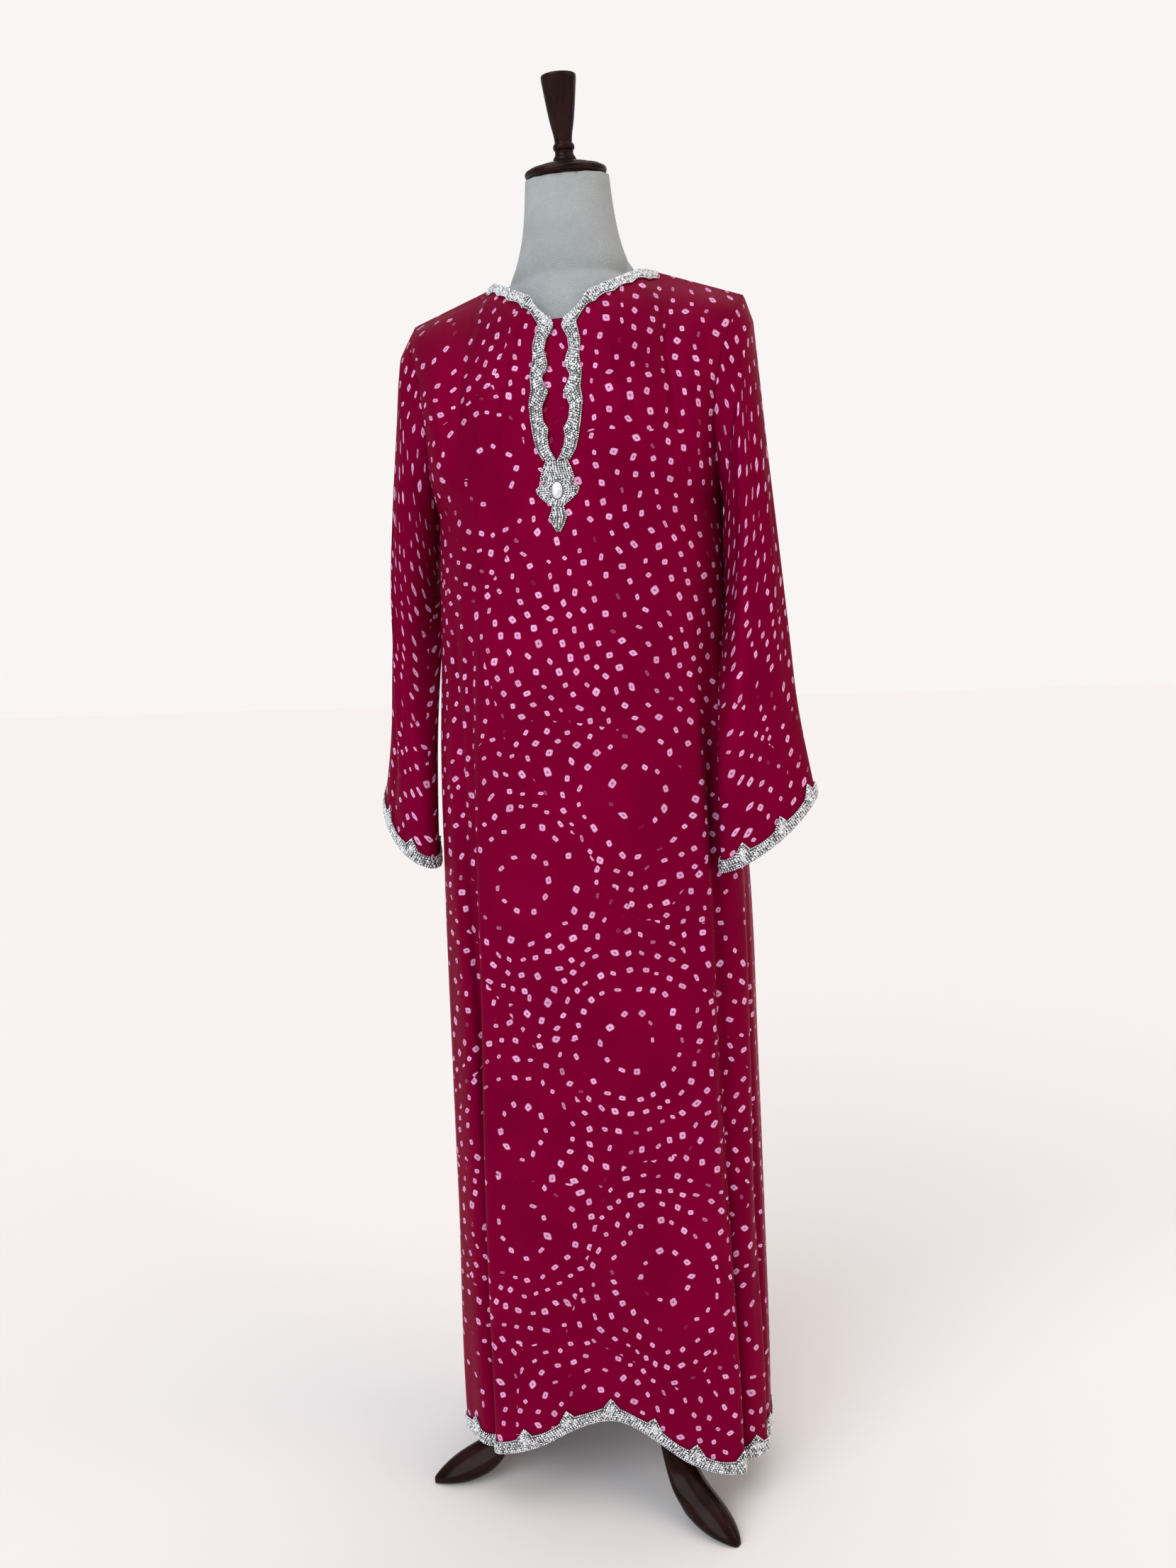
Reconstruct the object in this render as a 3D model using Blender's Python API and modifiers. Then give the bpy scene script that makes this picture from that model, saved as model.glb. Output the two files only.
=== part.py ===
"""Full-length kaftan on a limbless dress form with a turned neck cap and a wooden tripod.

The cloth pieces are thin walls, open at the neck, hem and cuffs. The wearer's front faces -Y,
the wearer's left is +X. Table values are in centimetres, and CM turns them into metres.
"""
import math

import bmesh
import bpy
import numpy as np
from mathutils import Vector

CM = 0.01
WALL = 0.12 * CM
GAP = 0.03 * CM
WELD = 0.0001 * CM
TRIM_WALL = 0.14 * CM
TRIM_LIFT = WALL + 0.045 * CM

# The body of the garment
SEAM_Y = 0.5
UNDERARM = 120.5
HEM_LEVEL = 5.0
BODY_POWER = 2.35
# height, half width towards -X and towards +X, depth to the front and to the back
SECTIONS = (
    (0.0, 17.6, 20.4, 12.9, 15.6),
    (15.0, 18.2, 20.5, 12.8, 15.0),
    (35.0, 18.5, 20.2, 12.6, 14.2),
    (55.0, 18.4, 19.8, 12.4, 13.6),
    (75.0, 18.5, 19.4, 12.3, 13.1),
    (90.0, 18.3, 18.4, 12.0, 12.6),
    (105.0, 17.6, 17.4, 11.6, 11.7),
    (UNDERARM, 17.2, 17.2, 11.1, 10.9),
)
# place round the half (0 at the -X seam, 1 at the +X seam) at the top and at the hem,
# height where it starts, width as a share of the half, depth at the hem, overhang at the hem,
# side on which the valley lies
FRONT_FOLDS = (
    (0.130, 0.120, 96.0, 0.026, 1.6, 0.5, -1),
    (0.300, 0.285, 130.0, 0.030, 3.0, 1.5, -1),
    (0.800, 0.810, 116.0, 0.030, 2.8, 1.3, 1),
    (0.905, 0.915, 84.0, 0.024, 1.5, 0.6, 1),
)
BACK_FOLDS = (
    (0.170, 0.160, 104.0, 0.034, 2.2, 0.8, -1),
    (0.330, 0.300, 126.0, 0.034, 2.8, 1.2, -1),
    (0.690, 0.710, 124.0, 0.034, 2.6, 1.1, 1),
    (0.850, 0.860, 92.0, 0.032, 1.9, 0.7, 1),
)
# shape of a fold: reach of its ridge and of its valley in fold widths, how far the valley lies
# beside the ridge, and the share of the depth that each takes
RIDGE_REACH, VALLEY_REACH, VALLEY_SHIFT = 0.9, 0.85, 1.25
RIDGE_SHARE, VALLEY_SHARE = 0.35, 0.75
# the folds deepen quickly below their start, and fade out beside the side seams
FOLD_GROWTH = 0.8
SEAM_FADE = 0.05
# half the spacing, as a share of a half, over which the direction along a section is measured
TANGENT_STEP = 0.006
# the shallow hollow between the two front legs: place, width, depth, height where it ends
FRONT_HOLLOW = (0.54, 0.17, 3.4, 62.0)
BACK_HOLLOW = (0.50, 0.15, 1.6, 70.0)
# place round the half and height of the lower edge
FRONT_HEM = ((0.0, 5.4), (0.13, 6.3), (0.27, 6.4), (0.36, 8.2), (0.45, 10.4), (0.54, 11.2),
             (0.63, 9.6), (0.72, 6.9), (0.81, 5.2), (0.90, 5.6), (1.0, 5.8))
BACK_HEM = ((0.0, 5.4), (0.2, 5.2), (0.38, 6.4), (0.52, 7.6), (0.64, 6.6), (0.8, 5.3), (1.0, 5.8))
# share of the way up the back at which its neck band starts
BACK_BAND_START = 0.942
# columns stand close together this many widths to each side of a fold, the plain ones keep clear
# of it by a little more, and none stands this near an edge of its half
FOLD_REACH, CLEAR_REACH, EDGE_SPARE = 2.2, 2.6, 0.012
# heights of the rows between the hem and the underarm, as shares of the way up
LOWER_ROWS = (0.0, 0.028, 0.10, 0.20, 0.32, 0.44, 0.56, 0.68, 0.80, 0.90)

# The armhole on the +X side: the shoulder tip, the front points down to the underarm, the back points
SHOULDER_TIP = (20.2, SEAM_Y, 144.4)
ARMHOLE_FRONT = ((19.5, -3.4, 141.2), (18.0, -5.4, 136.0), (17.1, -5.8, 130.0), (17.0, -3.8, 124.0))
UNDERARM_POINT = (17.2, SEAM_Y, UNDERARM)
ARMHOLE_BACK = ((19.6, 4.2, 141.4), (18.5, 6.4, 136.0), (17.8, 7.0, 130.0), (17.3, 5.0, 124.0))
NECK_POINT = (10.4, SEAM_Y, 147.9)
NECKLINE_FRONT = ((8.7, -2.6, 147.5), (6.1, -5.5, 145.9), (3.5, -7.7, 144.3), (2.8, -7.9, 143.1),
                  (1.6, -8.15, 141.8))
NECKLINE_BACK = ((8.4, 4.0, 148.2), (4.6, 6.5, 148.4), (0.0, 7.2, 148.4))
# shares of a half at which the top edge passes its points, from the shoulder tip to the centre
FRONT_TOP_SHARES = (0.0, 0.46, 0.56, 0.68, 0.82, 0.88, 0.95, 1.0)
BACK_TOP_SHARES = (0.0, 0.46, 0.60, 0.80, 1.0)
# height and half width of the keyhole, from its foot up, with a point wherever two scallops meet
KEYHOLE = ((124.9, 0.0), (125.7, 0.5), (126.6, 0.85), (127.6, 0.95), (128.4, 0.85), (129.5, 1.45),
           (131.0, 1.55), (132.6, 0.85), (134.2, 1.6), (135.8, 0.92), (137.5, 1.4), (138.8, 1.2),
           (140.2, 0.42), (141.4, 0.8))
# a point this near the seam's plane lies on the shoulder seam
SEAM_MATCH = 0.01
# how far the cloth stands off a straight line between the bust and the shoulder
SHOULDER_ROUNDING = 5.0
# brings the highest value of u (1 - u)^2, a third of the way across, to one
ROUNDING_SCALE = 6.75
# height and depth of the centre front
CENTRE_FRONT = ((UNDERARM, -11.1), (125.0, -11.0), (130.0, -10.7), (136.0, -9.7), (141.4, -8.2))
CENTRE_BACK = ((UNDERARM, 10.9), (130.0, 11.0), (138.0, 10.3), (144.0, 8.9), (148.4, 7.2))

# The +X sleeve: outer point, inner point and half thickness, from the cap of the sleeve to the cuff
SLEEVE = (
    ((21.3, 0.3, 141.3), (18.0, 0.3, 117.6), 5.9),
    ((22.0, -0.2, 134.0), (18.3, -0.6, 114.2), 5.1),
    ((22.8, -0.8, 124.0), (18.5, -2.4, 108.4), 3.9),
    ((23.7, -1.6, 115.0), (18.3, -4.8, 101.5), 3.0),
    ((24.6, -2.1, 106.0), (17.8, -7.0, 94.0), 2.5),
    ((25.6, -2.4, 96.5), (17.4, -7.9, 86.0), 2.2),
    ((27.5, -2.2, 86.0), (17.2, -8.2, 77.6), 2.3),
)
# how far each sleeve hangs back from that table at its cuff, and how far its inner and outer
# points lie out from it
SLEEVE_HANG = {1: (0.0, 0.0, 0.0), -1: (3.4, 1.7, -1.0)}
HANG_REACHED = 0.625
# how much lower the cuff hangs at its front and back than at its two edges
CUFF_SAG = 0.9
# how far the sleeve's first ring lies out from the armhole under the arm, at the back and in front
UNDERARM_CLEARANCE = 0.34
BACK_CLEARANCE = 0.12
FRONT_CLEARANCE = 0.05

# The trims: width along the hem and cuffs, and the depth past the seam at which the neck band starts
HEM_BAND = 2.2
CUFF_BAND = 2.0
NECK_START = 0.4
# pendant outline below the keyhole: distance down from its top, half width
PENDANT = ((0.0, 1.2), (0.9, 1.6), (1.9, 1.9), (2.4, 1.6), (3.1, 2.45), (3.7, 2.2), (4.5, 1.3),
           (5.0, 0.6), (5.5, 0.65), (6.2, 0.95), (7.1, 0.6), (7.9, 0.12))
PENDANT_TOP = 124.84
UNDERLAY_GAP = 0.09 * CM
PENDANT_WALL = 0.22 * CM
# distance below the pendant's top, half width, half height and thickness
STONE = (3.3, 0.5, 0.9, 0.3)
# share of the stone's outline and of its thickness, from its back to its table
STONE_FACETS = ((1.0, 0.0), (1.0, 0.35), (0.72, 0.85), (0.4, 1.0))
STONE_SIDES = 12
# the underlay's top edge, one row below the neckline's notch, and the least step between its rows
UNDERLAY_DROP = 0.6
UNDERLAY_STEP = 0.1

# The form: height, half width, front depth and back depth of its core, half width and half depth
# of the ridge along its shoulders, and how far the section lies ahead
FORM = (
    (79.0, 13.5, 9.0, 9.6, 0.0, 0.0, 0.0),
    (83.0, 15.6, 9.6, 10.4, 0.0, 0.0, 0.0),
    (90.0, 16.2, 9.8, 10.8, 0.0, 0.0, 0.0),
    (98.0, 14.4, 9.2, 9.6, 0.0, 0.0, 0.0),
    (106.0, 12.4, 8.6, 8.2, 0.0, 0.0, 0.0),
    (114.0, 13.4, 9.2, 8.2, 0.0, 0.0, 0.0),
    (122.0, 14.6, 9.8, 8.8, 14.8, 5.0, 0.0),
    (130.0, 14.2, 9.2, 9.0, 15.2, 5.0, 0.0),
    (136.0, 13.0, 8.4, 8.6, 15.8, 4.4, 0.0),
    (141.0, 11.0, 7.4, 7.8, 16.8, 3.0, 0.0),
    (144.6, 8.8, 6.5, 6.8, 17.2, 1.2, 0.0),
    (146.4, 8.1, 6.0, 6.0, 13.7, 0.8, 0.1),
    (147.5, 6.9, 5.2, 5.5, 11.3, 0.35, 0.0),
    (147.9, 6.8, 5.1, 5.4, 7.8, 0.4, 0.1),
    (149.5, 6.9, 5.3, 5.2, 0.0, 0.0, 0.4),
    (152.0, 5.9, 5.2, 5.0, 0.0, 0.0, 0.6),
    (156.0, 5.25, 4.9, 4.8, 0.0, 0.0, 1.1),
    (159.3, 5.0, 4.8, 4.7, 0.0, 0.0, 1.5),
)
FORM_POWER = 2.2
RIDGE_BLEND = 10.0
SHOULDER_TOP = 147.9
FORM_SIDES = 28
NECK_TILT = math.radians(13.5)
NECK_TOP = (0.0, -1.5, 159.3)
# radius and height above the neck
CAP_PROFILE = ((0.0, 1.75), (1.6, 1.7), (2.9, 1.45), (3.9, 1.15), (4.25, 1.05), (4.7, 0.85),
               (4.85, 0.5), (4.7, 0.15), (4.3, 0.0), (0.0, 0.0))
FINIAL_PROFILE = ((0.0, 9.1), (1.95, 9.1), (2.05, 8.9), (1.98, 8.0), (1.65, 5.8), (1.3, 3.6),
                  (1.08, 2.4), (1.03, 2.0), (1.18, 1.8), (1.22, 1.4), (1.1, 1.1), (1.12, 0.6),
                  (1.35, 0.0), (0.0, 0.0))
# radius and height of the pole with its flange, and of the hub
POLE_PROFILE = ((0.0, 78.97), (5.0, 78.97), (5.0, 78.2), (1.9, 77.4), (1.25, 76.0), (1.25, 31.0),
                (1.7, 30.4), (1.7, 29.63), (0.0, 29.63))
HUB_PROFILE = ((0.0, 29.6), (2.4, 29.6), (2.9, 29.0), (3.1, 28.0), (3.1, 19.8), (2.7, 18.6),
               (1.4, 17.4), (0.5, 16.6), (0.0, 16.6))
TURNED_SIDES = 24
SHARP_ANGLE = math.radians(40.0)
# directions of the legs, in degrees from straight ahead towards +X
LEG_ANGLES = (52.0, 172.0, -68.0)
# radius, height of the ridge, height of the underside, half width
LEG = (
    (3.14, 28.4, 20.6, 1.5),
    (6.0, 27.6, 19.0, 1.6),
    (9.0, 23.6, 14.6, 1.8),
    (11.2, 16.0, 8.4, 2.0),
    (12.8, 9.6, 4.2, 2.25),
    (14.4, 6.2, 1.7, 2.4),
    (16.4, 4.9, 0.6, 2.4),
    (18.6, 4.0, 0.0, 2.3),
    (20.6, 2.7, 0.0, 1.8),
    (22.0, 1.4, 0.0, 1.0),
    (22.6, 0.7, 0.0, 0.45),
)
# share of the half width and of the height, round the section of a leg
LEG_SECTION = ((0.0, 1.0), (0.5, 0.86), (0.95, 0.55), (1.0, 0.3), (0.7, 0.0),
               (-0.7, 0.0), (-1.0, 0.3), (-0.95, 0.55), (-0.5, 0.86))

# base colour, roughness and metallic value
FINISHES = {
    "silk": ((0.24, 0.0, 0.045), 0.45, 0.0),
    "silver": ((0.55, 0.56, 0.58), 0.3, 0.8),
    "stone": ((0.8, 0.8, 0.82), 0.08, 0.0),
    "linen": ((0.42, 0.42, 0.38), 0.85, 0.0),
    "wood": ((0.035, 0.012, 0.01), 0.2, 0.0),
}


def clear_scene():
    for obj in list(bpy.data.objects):
        bpy.data.objects.remove(obj, do_unlink=True)


def finish_named(name):
    """The material of one finish, made the first time it is asked for."""
    material = bpy.data.materials.get(name)
    if material is None:
        colour, roughness, metallic = FINISHES[name]
        material = bpy.data.materials.new(name)
        material.use_nodes = True
        shader = material.node_tree.nodes["Principled BSDF"]
        shader.inputs["Base Color"].default_value = (*colour, 1.0)
        shader.inputs["Roughness"].default_value = roughness
        shader.inputs["Metallic"].default_value = metallic
    return material


def curve_through(xs, ys, x):
    """Smooth curve through the points (xs, ys), each slope taken from the point's neighbours."""
    xs = np.asarray(xs, float)
    ys = np.asarray(ys, float)
    slopes = np.gradient(ys, xs)
    i = np.clip(np.searchsorted(xs, x) - 1, 0, len(xs) - 2)
    step = xs[i + 1] - xs[i]
    t = (x - xs[i]) / step
    return ((2 * t**3 - 3 * t**2 + 1) * ys[i] + (t**3 - 2 * t**2 + t) * step * slopes[i]
            + (3 * t**2 - 2 * t**3) * ys[i + 1] + (t**3 - t**2) * step * slopes[i + 1])


def path_through(shares, points, share):
    """Smooth path in space: the points are passed at the given shares of the way."""
    points = np.asarray(points, float)
    return np.stack([curve_through(shares, points[:, k], share) for k in range(3)], axis=-1)


def ease(t):
    t = np.clip(t, 0.0, 1.0)
    return t * t * (3.0 - 2.0 * t)


def mirror_x(points):
    return [(-x, y, z) for x, y, z in points]


def fold_places(folds, z):
    """The columns at which the folds lie, and their places round the half at height z."""
    rise = (z - HEM_LEVEL) / (UNDERARM - HEM_LEVEL)
    columns = [0.0] + [fold[1] for fold in folds] + [1.0]
    places = [0.0] + [fold[1] + (fold[0] - fold[1]) * rise for fold in folds] + [1.0]
    return columns, places


def base_ring(front, z, places):
    """Plan of one half of the body at height z, without folds, at the given places round it."""
    heights = [row[0] for row in SECTIONS]
    right, left, ahead, behind = (curve_through(heights, [row[k] for row in SECTIONS], z)
                                  for k in range(1, 5))
    angle = np.linspace(0.0, math.pi, 361)
    side = np.cos(angle)
    width = np.where(side > 0.0, right, left)
    x = -width * np.sign(side) * np.abs(side) ** (2.0 / BODY_POWER)
    depth = -(ahead + SEAM_Y) if front else behind - SEAM_Y
    y = SEAM_Y + depth * np.abs(np.sin(angle)) ** (2.0 / BODY_POWER)
    run = np.concatenate([[0.0], np.cumsum(np.hypot(np.diff(x), np.diff(y)))])
    run /= run[-1]
    return np.stack([np.interp(places, run, x), np.interp(places, run, y)], axis=-1)


def folded_ring(front, z, columns):
    """Plan of one half of the body at height z with its folds and its hollow."""
    folds = FRONT_FOLDS if front else BACK_FOLDS
    hollow = FRONT_HOLLOW if front else BACK_HOLLOW
    fold_columns, fold_lines = fold_places(folds, z)
    places = np.interp(columns, fold_columns, fold_lines)
    points = base_ring(front, z, places)
    along = (base_ring(front, z, np.minimum(places + TANGENT_STEP, 1.0))
             - base_ring(front, z, np.maximum(places - TANGENT_STEP, 0.0)))
    along /= np.linalg.norm(along, axis=1)[:, None]
    turn = 1.0 if front else -1.0
    out = np.stack([along[:, 1], -along[:, 0]], axis=-1) * turn
    pinned = ease(np.minimum(places, 1.0 - places) / SEAM_FADE)
    for line, fold in zip(fold_lines[1:-1], folds):
        start, width, depth, overhang, side = fold[2:]
        grown = ease((start - z) / (start - HEM_LEVEL)) ** FOLD_GROWTH
        u = (places - line) / width
        ridge = np.exp(-(u / RIDGE_REACH) ** 2)
        valley = np.exp(-((u - side * VALLEY_SHIFT) / VALLEY_REACH) ** 2)
        rise = depth * (RIDGE_SHARE * ridge - VALLEY_SHARE * valley)
        points = points + out * (pinned * grown * rise)[:, None]
        points = points + along * (pinned * grown * overhang * side * ridge)[:, None]
    place, width, depth, top = hollow
    grown = ease((top - z) / (top - HEM_LEVEL))
    dent = np.exp(-((places - place) / width) ** 2) * depth * grown * pinned
    return points - out * dent[:, None]


def hem_height(front, columns):
    table = FRONT_HEM if front else BACK_HEM
    return curve_through([row[0] for row in table], [row[1] for row in table], columns)


def armhole(front, side):
    """The armhole line of one half, from the underarm up to the shoulder tip."""
    middle = ARMHOLE_FRONT if front else ARMHOLE_BACK
    points = [UNDERARM_POINT, *reversed(middle), SHOULDER_TIP]
    return points if side > 0 else mirror_x(points)


def top_edge(front, side, shares):
    """Shoulder seam and neckline of one half: straight seam, then the curve of the neckline."""
    if front:
        neckline = [NECK_POINT, *NECKLINE_FRONT, (KEYHOLE[-1][1], CENTRE_FRONT[-1][1], KEYHOLE[-1][0])]
        stops = FRONT_TOP_SHARES
    else:
        neckline = [NECK_POINT, *NECKLINE_BACK]
        stops = BACK_TOP_SHARES
    seam_part = np.clip(shares / stops[1], 0.0, 1.0)[:, None]
    seam = np.asarray(SHOULDER_TIP) * (1.0 - seam_part) + np.asarray(NECK_POINT) * seam_part
    # the neckline is passed point by point, so that its notch stays sharp
    line = np.stack([np.interp(shares, stops[1:], [p[k] for p in neckline]) for k in range(3)], axis=-1)
    edge = np.where((shares <= stops[1])[:, None], seam, line)
    edge[:, 0] *= side
    return edge


def centre_line(front, side, rises):
    """Centre front with the edge of the keyhole, or centre back, at the given shares of the way up."""
    table = CENTRE_FRONT if front else CENTRE_BACK
    z = UNDERARM + (table[-1][0] - UNDERARM) * rises
    y = curve_through([row[0] for row in table], [row[1] for row in table], z)
    x = np.zeros_like(z)
    if front:
        x = side * np.interp(z, [row[0] for row in KEYHOLE], [row[1] for row in KEYHOLE], left=0.0)
    return np.stack([x, y, z], axis=-1)


def upper_grid(front, side, columns, rises):
    """Chest or back of one half: a patch between its four edges, rounded towards the shoulder."""
    shares = np.linspace(0.0, 1.0, len(columns))
    bottom = np.column_stack([folded_ring(front, UNDERARM, columns), np.full(len(columns), UNDERARM)])
    top = top_edge(front, side, shares)
    outer = path_through(np.linspace(0.0, 1.0, len(armhole(front, side))), armhole(front, side), rises)
    centre = centre_line(front, side, rises)
    u = shares[None, :, None]
    t = rises[:, None, None]
    ruled = (1 - t) * bottom[None] + t * top[None]
    # the side edges pull the patch their way, less and less towards the other edge
    at_arm = outer[:, None] - ruled[:, :1]
    at_centre = centre[:, None] - ruled[:, -1:]
    patch = ruled + at_arm * (1.0 - ease(u)) + at_centre * ease(u)
    # depth stays near the chest's and turns in only towards the top
    rounded = ROUNDING_SCALE * u[..., 0] * (1 - u[..., 0]) ** 2 * t[..., 0] * (1 - t[..., 0])
    patch[..., 1] += (-1 if front else 1) * SHOULDER_ROUNDING * rounded
    return patch


def half_columns(front, side, count_far, count_fold):
    """Columns of one half from its side seam to the centre, closer together at the folds."""
    folds = FRONT_FOLDS if front else BACK_FOLDS
    columns = set(np.round(np.linspace(0.0, 0.5, count_far), 5))
    for fold in folds:
        line, width = fold[1], fold[3]
        place = line if side < 0 else 1.0 - line
        if place > 0.5:
            continue
        lean = fold[6] * (1 if side < 0 else -1)
        middle = place + lean * width * VALLEY_SHIFT / 2
        near = middle + width * np.linspace(-FOLD_REACH, FOLD_REACH, count_fold)
        columns = {c for c in columns if abs(c - middle) > CLEAR_REACH * width or c in (0.0, 0.5)}
        columns |= {round(float(c), 5) for c in near if EDGE_SPARE < c < 0.5 - EDGE_SPARE}
    columns = np.array(sorted(columns))
    return columns if side < 0 else 1.0 - columns


def body_half(front, side, count_far=9, count_fold=8):
    """Grid of points of one half of the front or back, from the hem to the top, in centimetres."""
    columns = half_columns(front, side, count_far, count_fold)
    low = hem_height(front, columns)
    rows = []
    for share in LOWER_ROWS:
        heights = low + (UNDERARM - low) * share
        rows.append(np.array([(*folded_ring(front, z, np.array([c]))[0], z)
                              for c, z in zip(columns, heights)]))
    if front:
        top = KEYHOLE[-1][0] - UNDERARM
        rises = np.array([0.0, 0.105] + [(z - UNDERARM) / top for z, _ in KEYHOLE])
    else:
        rises = np.append(np.linspace(0.0, BACK_BAND_START, 7), 1.0)
    return np.concatenate([np.array(rows), upper_grid(front, side, columns, rises)])


def seam_clearance(grid, front):
    """Move the side seams and shoulder seams apart by the seam gap."""
    shift = np.zeros(grid.shape[:2])
    shift[:, 0] = 0.5 * GAP / CM
    on_seam = np.abs(grid[-1, :, 1] - SEAM_Y) < SEAM_MATCH
    shift[-1, on_seam] = 0.5 * GAP / CM
    grid[..., 1] += -shift if front else shift
    return grid


def link(obj, collection):
    collection.objects.link(obj)
    return obj


def sheet(name, grids, finish, collection, wall=WALL, lift=0.0, closed=False):
    """A cloth wall: grids of points welded into a sheet, thickened outwards from a lift above them."""
    mesh = bpy.data.meshes.new(name)
    work = bmesh.new()
    for grid in grids:
        rows, cols = grid.shape[:2]
        verts = [[work.verts.new(grid[i, j] * CM) for j in range(cols)] for i in range(rows)]
        for i in range(rows - 1):
            for j in range(cols if closed else cols - 1):
                k = (j + 1) % cols
                work.faces.new((verts[i][j], verts[i][k], verts[i + 1][k], verts[i + 1][j]))
    bmesh.ops.remove_doubles(work, verts=work.verts, dist=WELD)
    bmesh.ops.recalc_face_normals(work, faces=work.faces)
    lead = max(work.faces, key=lambda face: abs(face.calc_center_median().y))
    if lead.normal.y * lead.calc_center_median().y < 0.0:
        bmesh.ops.reverse_faces(work, faces=work.faces)
    work.to_mesh(mesh)
    work.free()
    mesh.shade_smooth()
    mesh.materials.append(finish_named(finish))
    obj = link(bpy.data.objects.new(name, mesh), collection)
    thicken = obj.modifiers.new("Wall", "SOLIDIFY")
    thicken.thickness = wall
    thicken.offset = 1.0 + 2.0 * lift / wall
    thicken.use_even_offset = True
    return obj


def make_body(collection):
    """Front and back panels. Returns their grids, which the trims are made from."""
    grids = {}
    for front, name in ((True, "front"), (False, "back")):
        halves = [seam_clearance(body_half(front, side), front) for side in (-1, 1)]
        grids[name] = halves
        sheet(name, halves, "silk", collection)
    return grids


def sleeve_ring(side, row, angles):
    outer, inner, thick = row
    outer = np.asarray(outer, float)
    inner = np.asarray(inner, float)
    span = outer - inner
    across = np.array([span[1], -span[0], 0.0])
    across /= np.linalg.norm(across)
    points = ((outer + inner) / 2 + span / 2 * np.cos(angles)[:, None]
              + across * thick * np.sin(angles)[:, None])
    points[:, 0] *= side
    return points


def sleeve_table(share):
    """Outer point, inner point and half thickness at a share of the way from the cap to the cuff."""
    stops = np.linspace(0.0, 1.0, len(SLEEVE))
    outer = path_through(stops, [row[0] for row in SLEEVE], share)
    inner = path_through(stops, [row[1] for row in SLEEVE], share)
    return outer, inner, curve_through(stops, [row[2] for row in SLEEVE], share)


def armhole_loop(angles, lift):
    """The whole armhole as a loop, moved out by the seam gap and, under the arm, by the wall."""
    front = armhole(True, 1)
    back = armhole(False, 1)
    loop = [front[-1], *reversed(back[1:-1]), back[0], *front[1:-1], front[-1]]
    stops = np.linspace(0.0, 2.0 * math.pi, len(loop))
    points = path_through(stops, loop, angles)
    low = ease((1.0 - np.cos(angles)) / 2.0)
    beside = np.where(np.sin(angles) > 0.0, BACK_CLEARANCE, FRONT_CLEARANCE) * np.abs(np.sin(angles))
    points[:, 0] += lift + UNDERARM_CLEARANCE * low + beside
    return points


def sleeve_grid(side, count_round=20, count_rows=12):
    angles = np.linspace(0.0, 2.0 * math.pi, count_round, endpoint=False)
    start = armhole_loop(angles, GAP / CM)
    start[:, 0] *= side
    rows = [start]
    for share in np.linspace(0.0, 1.0, count_rows):
        outer, inner, thick = sleeve_table(share)
        back, inner_out, outer_out = np.array(SLEEVE_HANG[side]) * ease(share / HANG_REACHED)
        outer = outer + (outer_out, back, 0.0)
        inner = inner + (inner_out, back, 0.0)
        # the armhole runs round by the back, so the rings do too
        rows.append(sleeve_ring(side, (outer, inner, thick), -angles))
    rows = np.array(rows)
    rows[-1, :, 2] -= CUFF_SAG * np.sin(angles) ** 2
    return rows


def along_rows(grid, low, high, width):
    """Two rows of a band: row `low` and the points at a width from it, towards row `high`."""
    step = grid[high] - grid[low]
    share = width / np.linalg.norm(step, axis=-1, keepdims=True)
    return np.stack([grid[low], grid[low] + step * share])


def trim(name, strips, collection, wall=TRIM_WALL, closed=False):
    """A beaded trim on a panel: strips of the panel's own points, moved out past its wall."""
    sheet(name, strips, "silver", collection, wall=wall, lift=TRIM_LIFT, closed=closed)


def neck_column(half):
    """The first column whose top lies on the neckline and not on the shoulder seam."""
    return int(np.argmax(np.abs(half[-1, :, 1] - SEAM_Y) > NECK_START))


def make_neck_trims(grids, collection):
    """Bands at the neckline and down both sides of the keyhole, one for each half, and the back's."""
    first_row = len(LOWER_ROWS) + 2
    for side, half, name in zip((-1, 1), grids["front"], ("right", "left")):
        band = half.copy()
        band[:, -1, 0] = side * np.maximum(np.abs(band[:, -1, 0]), GAP / CM)
        strips = [band[first_row:, -2:], band[-2:, neck_column(half):-1]]
        trim(f"trim_neck_front_{name}", strips, collection)
    trim("trim_neck_back", [half[-2:, neck_column(half):] for half in grids["back"]], collection)


def make_hem_trims(grids, collection):
    for name in ("front", "back"):
        trim(f"trim_hem_{name}", [along_rows(half, 0, 1, HEM_BAND) for half in grids[name]], collection)


def make_cuff_trims(sleeves, collection):
    for name in ("left", "right"):
        band = along_rows(sleeves[f"sleeve_{name}"], -1, -2, CUFF_BAND)
        trim(f"trim_cuff_{name}", [band], collection, closed=True)


def on_front(grids, x, z):
    """Point on the front panel's inner face at a place near the centre front."""
    half = grids["front"][0 if x < 0 else 1]
    rows = [(np.interp(abs(x), np.abs(row[::-1, 0]), row[::-1, 1]), row[-1, 2]) for row in half]
    return np.array([x, np.interp(z, [row[1] for row in rows], [row[0] for row in rows]), z])


def make_pendant(grids, collection):
    """Beaded pendant under the keyhole, with an oval stone."""
    rows = [[on_front(grids, x, PENDANT_TOP - down) for x in (-half, 0.0, half)]
            for down, half in PENDANT]
    trim("trim_pendant", [np.array(rows)[::-1]], collection, wall=PENDANT_WALL)
    down, half_width, half_height, thickness = STONE
    centre = on_front(grids, 0.0, PENDANT_TOP - down)
    centre[1] -= (TRIM_LIFT + PENDANT_WALL + 2.0 * GAP) / CM
    rings = []
    for scale, forward in STONE_FACETS:
        rings.append([centre + (half_width * scale * math.cos(a), -thickness * forward,
                                half_height * scale * math.sin(a))
                      for a in np.linspace(0.0, 2.0 * math.pi, STONE_SIDES, endpoint=False)])
    loft("pendant_stone", rings, "stone", collection)


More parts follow.
